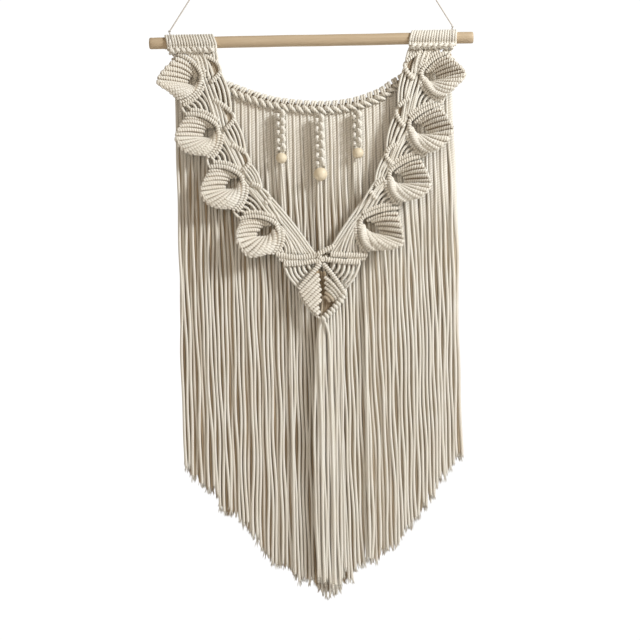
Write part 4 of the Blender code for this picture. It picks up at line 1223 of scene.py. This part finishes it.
def sinnet_piece(side):
    x, top, bead, size, end_x, end = SINNETS[side]
    batch = Batch()
    y = sinnet_y(size)
    body_end = bead - size / 2 - 0.8
    length = body_end - top
    knots = int(round(length / 12.9))
    pitch = length / knots
    cord(batch, [(x, y - 0.2, top - 1.0), (x, y - 0.2, body_end)], 3.0, sides=9, ply=True)
    turn = math.radians(-3.0 if side != "right" else -13.0)

    def at(px, py, down):
        return (x + px * math.cos(turn) - py * math.sin(turn), y + px * math.sin(turn) + py * math.cos(turn), down)

    for k in range(knots):
        # one square knot: a big lobe down the right, a round one on the left, their bars behind
        mid = top + (k + 0.5) * pitch
        lift = rng.uniform(-0.4, 0.4)
        low = 0.0 if k < knots - 1 else -1.6
        cord(batch, [at(-0.6, -4.0, mid - 6.2 + lift), at(2.2, -5.0, mid - 4.6 + lift), at(4.3, -4.4, mid - 1.2), at(4.1, -3.6, mid + 2.4 + low), at(2.0, -3.0, mid + 5.0 + low)],
             2.85, ply=True, steps=6, profile=[0.7, 1.05, 1.15, 1.08, 0.75], cap=3.0)
        cord(batch, [at(-1.4, -3.6, mid + 0.0), at(-3.7, -4.6, mid + 1.0 + lift), at(-4.9, -3.8, mid + 3.6 + 0.5 * low), at(-3.4, -3.0, mid + 6.2 + low)],
             2.9, ply=True, steps=6, profile=[0.7, 1.12, 1.12, 0.8], cap=2.8)
        cord(batch, [at(-4.6, -1.0, mid - 3.6), at(-2.4, -2.6, mid - 5.0 + lift), at(0.2, -3.4, mid - 6.0 + lift)], 1.8, ply=True, steps=5)
        cord(batch, [at(4.6, -1.2, mid - 3.8), at(4.2, 2.0, mid - 2.2), at(0.0, 3.9, mid - 0.6), at(-4.2, 2.0, mid + 1.2), at(-4.8, -0.6, mid + 2.4)], 2.1, ply=True, steps=5)
        cord(batch, [at(-4.6, -0.6, mid - 4.4), at(-4.4, 1.8, mid - 1.6), at(0.0, 3.9, mid + 3.4), at(4.2, 1.8, mid + 5.2 + low), at(4.4, -0.8, mid + 5.8 + low)], 2.1, ply=True, steps=5)
    return batch.build(f"sinnet_{side}_knots", NET, "cotton", (f"sinnet_{side}",))


for side, (x, top, bead, size, end_x, end) in SINNETS.items():
    sinnet_piece(side)
    axis_y = sinnet_y(size)
    body_end = bead - size / 2 - 0.6
    start, below = body_end + 0.4, bead + size / 2 + 1.0
    route = [(x, axis_y, start), (x, axis_y, bead), (x, axis_y, below)]
    for k in range(1, TAIL_STEPS + 1):
        t = k / TAIL_STEPS
        sway = (end_x - x) * (1 - (1 - min(1.0, t / 0.45)) ** 2)
        route.append((x + sway, axis_y + (TAIL_Y - axis_y) * min(1.0, t / 0.3), below + (end - below) * t))
    tail = Batch()
    cord(tail, route, TAIL / 2, sides=10, step=4.0, steps=3)
    piece = tail.build(f"tail_cord_{side}", M_CORD, "cotton", (f"tail_{side}",))
    path = world(smooth(route, 3)) * MM
    length = float(run_of(path)[-1])
    tuple(path[0])
    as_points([tuple(p) for p in path[::2]] + [tuple(path[-1])])

# ---------------------------------------------------------------- back fringe and tassel


def fray(batch, tip, r, count, length):
    """The brushed end of a cord: a few thin strands that open out."""
    tip = np.asarray(tip, float)
    for _ in range(count):
        a = rng.uniform(0, 2 * np.pi)
        out = rng.uniform(0.3, 1.0) * r
        grow = length * rng.uniform(0.55, 1.1)
        spread = rng.uniform(0.4, 1.7)
        p0 = tip + [math.cos(a) * out * 0.6, math.sin(a) * out * 0.6, -1.5]
        p1 = tip + [math.cos(a) * out * (0.8 + 0.5 * spread), math.sin(a) * out * (0.8 + 0.4 * spread), grow * 0.5]
        p2 = tip + [math.cos(a) * out * (0.8 + 1.0 * spread) + rng.uniform(-0.6, 0.6), math.sin(a) * out * (0.8 + 0.8 * spread), grow]
        path = world(smooth(np.array([p0, p1, p2]), 2))
        t, n, b = axes_of(path, FRONT)
        size = np.interp(np.linspace(0, 1, len(path)), [0, 0.5, 1.0], [0.75, 0.6, 0.12]) * 0.85
        angle = 2 * np.pi * np.arange(4) / 4 + a
        rows = path[:, None] + (n[:, None] * np.cos(angle)[None, :, None] + b[:, None] * np.sin(angle)[None, :, None]) * size[:, None, None]
        batch.skin(rows, run_of(path) / LAY)


FRINGE_LEFT, FRINGE_RIGHT, FRINGE_TEETH = -199.6, 202.4, 76


def drift(x, down):
    """Sideways sway that neighbouring cords share."""
    return (
        1.3 * np.sin(x / 37.0 + down / 140.0 + 0.7)
        + 0.8 * np.sin(x / 13.0 - down / 95.0 + 2.1)
        + 0.45 * np.sin(x / 7.1 + down / 57.0)
    )


def fringe_layer(name, count, offset, r, sides, step, depth, material, nodes=(), spread=0.25, short=0.0, frayed=6, wide=False):
    batch = Batch()
    pitch = (FRINGE_RIGHT - FRINGE_LEFT) / (FRINGE_TEETH - 1)
    line = swag_line()
    xs = line[:, 0]
    total = 0.0
    for i in range(count):
        x = FRINGE_LEFT + (i + offset) * pitch
        lean = 0.0115 + 0.0037 * x / 200
        top = float(np.interp(x, xs, line[:, 2])) - 1.0
        tip = float(along(TIPS, x + lean * 600)) + rng.uniform(-10.5, 1.0) - short
        downs = np.concatenate([[top, top + 6], np.arange(top + 22, tip - 34, 24.0), [tip - 26, tip - 12, tip]])
        wob_a, wob_b = rng.uniform(0, 2 * np.pi, 2)
        flick = rng.normal(0, 0.9)
        y0, y1 = depth(i)
        pts = []
        for d in downs:
            free = min(1.0, max(0.0, (d - top) / 160.0))
            px = x + lean * (d - 100) + free * (float(drift(x, d)) + spread * math.sin(d / 41.0 + wob_a) + spread * math.sin(d / 23.0 + wob_b))
            px += flick * max(0.0, 1 - (tip - d) / 90.0) ** 2
            merge = min(1.0, max(0.0, (d - 150) / 220.0))
            py = y0 + (y1 - y0) * merge + 0.4 * free * math.sin(d / 47.0 + wob_b)
            pts.append((px, py, d))
        size = r * rng.uniform(0.95, 1.05)
        # painted shade: set-back front cords take the darker copy, and middle-layer cords right of x 40 a lighter shade
        # copy than those on the left
        cord(batch, pts, size, sides=sides, step=step, steps=5, cap=2.2, mat=1 if (wide and y1 > 5.5) or (short and x > 40) else 0)
        if wide and i % 2:
            # near the swag two cords lie flat side by side between the proud ones; their lighter colour is painted
            # light
            reach = 175.0 if x < 95 else 330.0
            flat = [(px + 0.2 * math.sin(d / 19.0), 4.9 + 3.6 * ((d - top) / reach) ** 2, d) for px, _, d in pts if d - top <= reach]
            cord(batch, flat, 4.1, sides=8, step=9.0, steps=3, squash=0.5, cap=2.2, profile=[1.0, 1.0, 1.0, 0.95, 0.8, 0.5], mat=2)
        if frayed:
            fray(batch, pts[-1], size, frayed, rng.uniform(4.0, 9.0))
        total += float(run_of(np.array(pts))[-1])
    piece = batch.build(name, material, "cotton", nodes)
    return piece, total


# the middle layer is coloured dark brown as painted shade
rest_y = np.where(rng.uniform(0, 1, FRINGE_TEETH) < 0.62, rng.uniform(3.4, 4.4, FRINGE_TEETH), rng.uniform(6.2, 7.4, FRINGE_TEETH))
front_layer, front_run = fringe_layer(
    "back_fringe_front", FRINGE_TEETH, 0.0, 2.1, 8, 6.5,
    lambda i: (3.4, 3.4 + 0.25 * (rest_y[i] - 3.4)) if i % 2 == 0 else (9.6, rest_y[i]), [M_CORD, M_PAINTED_SET_BACK_SHADE, M_PAINTED_LIGHT_FLAT], ("back_fringe",), spread=0.8, wide=True)
middle_layer, middle_run = fringe_layer(
    "back_fringe_middle", FRINGE_TEETH - 1, 0.5, 2.4, 6, 9.0, lambda i: (9.2, 8.8), [M_PAINTED_SHADE, M_PAINTED_RECESS_SHADE], (), frayed=4, short=2.0)
back_layer, back_run = fringe_layer(
    "back_fringe_back", FRINGE_TEETH, 0.0, 2.25, 7, 8.0, lambda i: (11.8, 11.6), M_CORD, (), spread=0.3, frayed=4)


def tassel_piece():
    """Cords that leave both lower edges of the centre leaf and hang down together."""
    batch = Batch()
    edge = [(-22.0, 377.0), (-14.0, 388.5), (-5.0, 399.0), (8.0, 409.5), (16.0, 402.0), (24.0, 394.0), (33.0, 384.0), (41.0, 372.0)]
    count = 19
    for i in range(count):
        f = (i + 0.5) / count
        layer = i % 2
        x_low = -6.5 + 43.0 * f
        gathered = f < 0.45
        if gathered:
            # from the last knot, spreading as they fall
            x0, top = 4.6 + 7.0 * f / 0.45, 405.0
            settle = 150.0
        else:
            x0 = -6.5 + 42.0 * f
            top = float(along(edge, x0)) - 3.0
            settle = 60.0
        tip = 801 - 26 * abs(f - 0.42) + rng.uniform(-14, 6)
        wob, wob2 = rng.uniform(0, 2 * np.pi, 2)
        depth = (-10.0 if layer == 0 else -4.0) + 0.9 * math.sin(3.0 * i)
        pts = [(x0, -10.0 + 1.5 * layer, top), (x0 + (x_low - x0) * 0.08, depth + 0.4, top + 9)]
        for down in list(np.arange(top + 30, tip - 40, 30.0)) + [tip - 26, tip - 12, tip]:
            free = min(1.0, (down - top) / 120)
            g = min(1.0, (down - top) / settle)
            px = x0 + (x_low - x0) * (1 - (1 - g) ** 2) + free * (0.9 * math.sin(down / 43 + wob) + 0.5 * math.sin(down / 21 + wob2))
            pts.append((px, depth + 0.5 * math.sin(down / 37 + wob2), down))
        r = 1.88 * rng.uniform(0.95, 1.05)
        # the back layer of cords takes the painted shade copy
        cord(batch, pts, r, sides=9, step=4.5, steps=6, cap=2.2, mat=layer * 3)
        fray(batch, pts[-1], r, 6, rng.uniform(6.0, 11.0))
    # cords that fill behind, coloured dark brown as painted shade, and the two that leave the last knot
    for i in range(8):
        x0 = 3.0 + 30.0 * i / 7
        x_low = -3.0 + 36.0 * i / 7
        top = float(along(edge, x0)) - 6.0
        cord(batch, [(x0, -4.4, top), (x0, -2.6, top + 30), (x_low, -1.6, 560), (x_low - 1.0, -1.6, 780)], 2.3, sides=7, step=12.0, steps=6, mat=2)
    cord(batch, [(8.4, -12.5, 406.0), (6.6, -15.2, 413.0), (3.6, -13.6, 430.0), (3.4, -12.6, 470.0), (5.0, -12.4, 560.0), (4.0, -12.2, 700.0), (5.0, -12.0, 793.0)], 2.2, sides=9, step=4.5)
    cord(batch, [(6.4, -12.5, 405.5), (11.0, -15.4, 411.0), (16.2, -13.8, 424.0), (18.6, -12.8, 450.0), (20.0, -12.4, 560.0), (20.6, -12.2, 700.0), (20.0, -12.0, 797.0)], 2.2, sides=9, step=4.5)
    return batch.build("tassel_cords", [M_CORD, M_KNOT, M_PAINTED_SHADE, M_PAINTED_SET_BACK_SHADE], "cotton", ("tassel",))


tassel_piece()

# ---------------------------------------------------------------- floor and light

floor_mesh = bpy.data.meshes.new("floor")
z = -1.27
floor_mesh.from_pydata([(-1.6, -1.6, z), (1.6, -1.6, z), (1.6, 1.15, z), (-1.6, 1.15, z)], [], [(0, 1, 2, 3)])
floor_mat, floor_nt, floor_shader = tree("floor_pale", (0.90, 0.90, 0.89), 0.85)
spot = floor_nt.nodes.new("ShaderNodeTexCoord").outputs["Object"]
cloud = node(floor_nt, "ShaderNodeTexNoise", Scale=3.0, Detail=2.0)
floor_nt.links.new(spot, cloud.inputs["Vector"])
floor_nt.links.new(mixed(floor_nt, cloud.outputs["Fac"], (0.90, 0.90, 0.89), (0.93, 0.93, 0.925)), floor_shader.inputs["Base Color"])
floor_mesh.materials.append(floor_mat)
floor = bpy.data.objects.new("floor", floor_mesh)
bpy.context.scene.collection.objects.link(floor)

scene = bpy.context.scene
scene.view_settings.view_transform = "Standard"
scene.view_settings.look = "None"
world_data = bpy.data.worlds.new("studio")
scene.world = world_data
world_data.use_nodes = True
wt = world_data.node_tree
wt.nodes.clear()
seen = wt.nodes.new("ShaderNodeBackground")
seen.inputs["Color"].default_value = (1, 1, 1, 1)
seen.inputs["Strength"].default_value = 1.05
fill = wt.nodes.new("ShaderNodeBackground")
fill.inputs["Color"].default_value = (1.0, 0.83, 0.64, 1)
fill.inputs["Strength"].default_value = 0.28
path_node = wt.nodes.new("ShaderNodeLightPath")
blend = wt.nodes.new("ShaderNodeMixShader")
out = wt.nodes.new("ShaderNodeOutputWorld")
wt.links.new(path_node.outputs["Is Camera Ray"], blend.inputs[0])
wt.links.new(fill.outputs[0], blend.inputs[1])
wt.links.new(seen.outputs[0], blend.inputs[2])
wt.links.new(blend.outputs[0], out.inputs[0])


def area_light(name, place, target, size, power, colour=(1, 1, 1)):
    data = bpy.data.lights.new(name, "AREA")
    data.shape = "SQUARE"
    data.size = size
    data.energy = power
    data.color = colour
    ob = bpy.data.objects.new(name, data)
    scene.collection.objects.link(ob)
    d = np.array(target, float) - np.array(place, float)
    from mathutils import Vector
    ob.rotation_euler = Vector(d).to_track_quat("-Z", "Y").to_euler()
    ob.location = place
    return ob


area_light("key", (2.0, -1.35, 0.95), (0.0, 0.0, -0.42), 0.62, 81.5, (0.945, 0.98, 1.0))
area_light("fill_front", (-0.5, -2.6, 0.2), (0.0, 0.0, -0.45), 1.2, 11.5, (1.0, 0.92, 0.81))
area_light("rear", (-1.0, 2.6, 0.7), (0.0, 0.0, -0.45), 1.4, 42.0, (1.0, 0.99, 0.97))
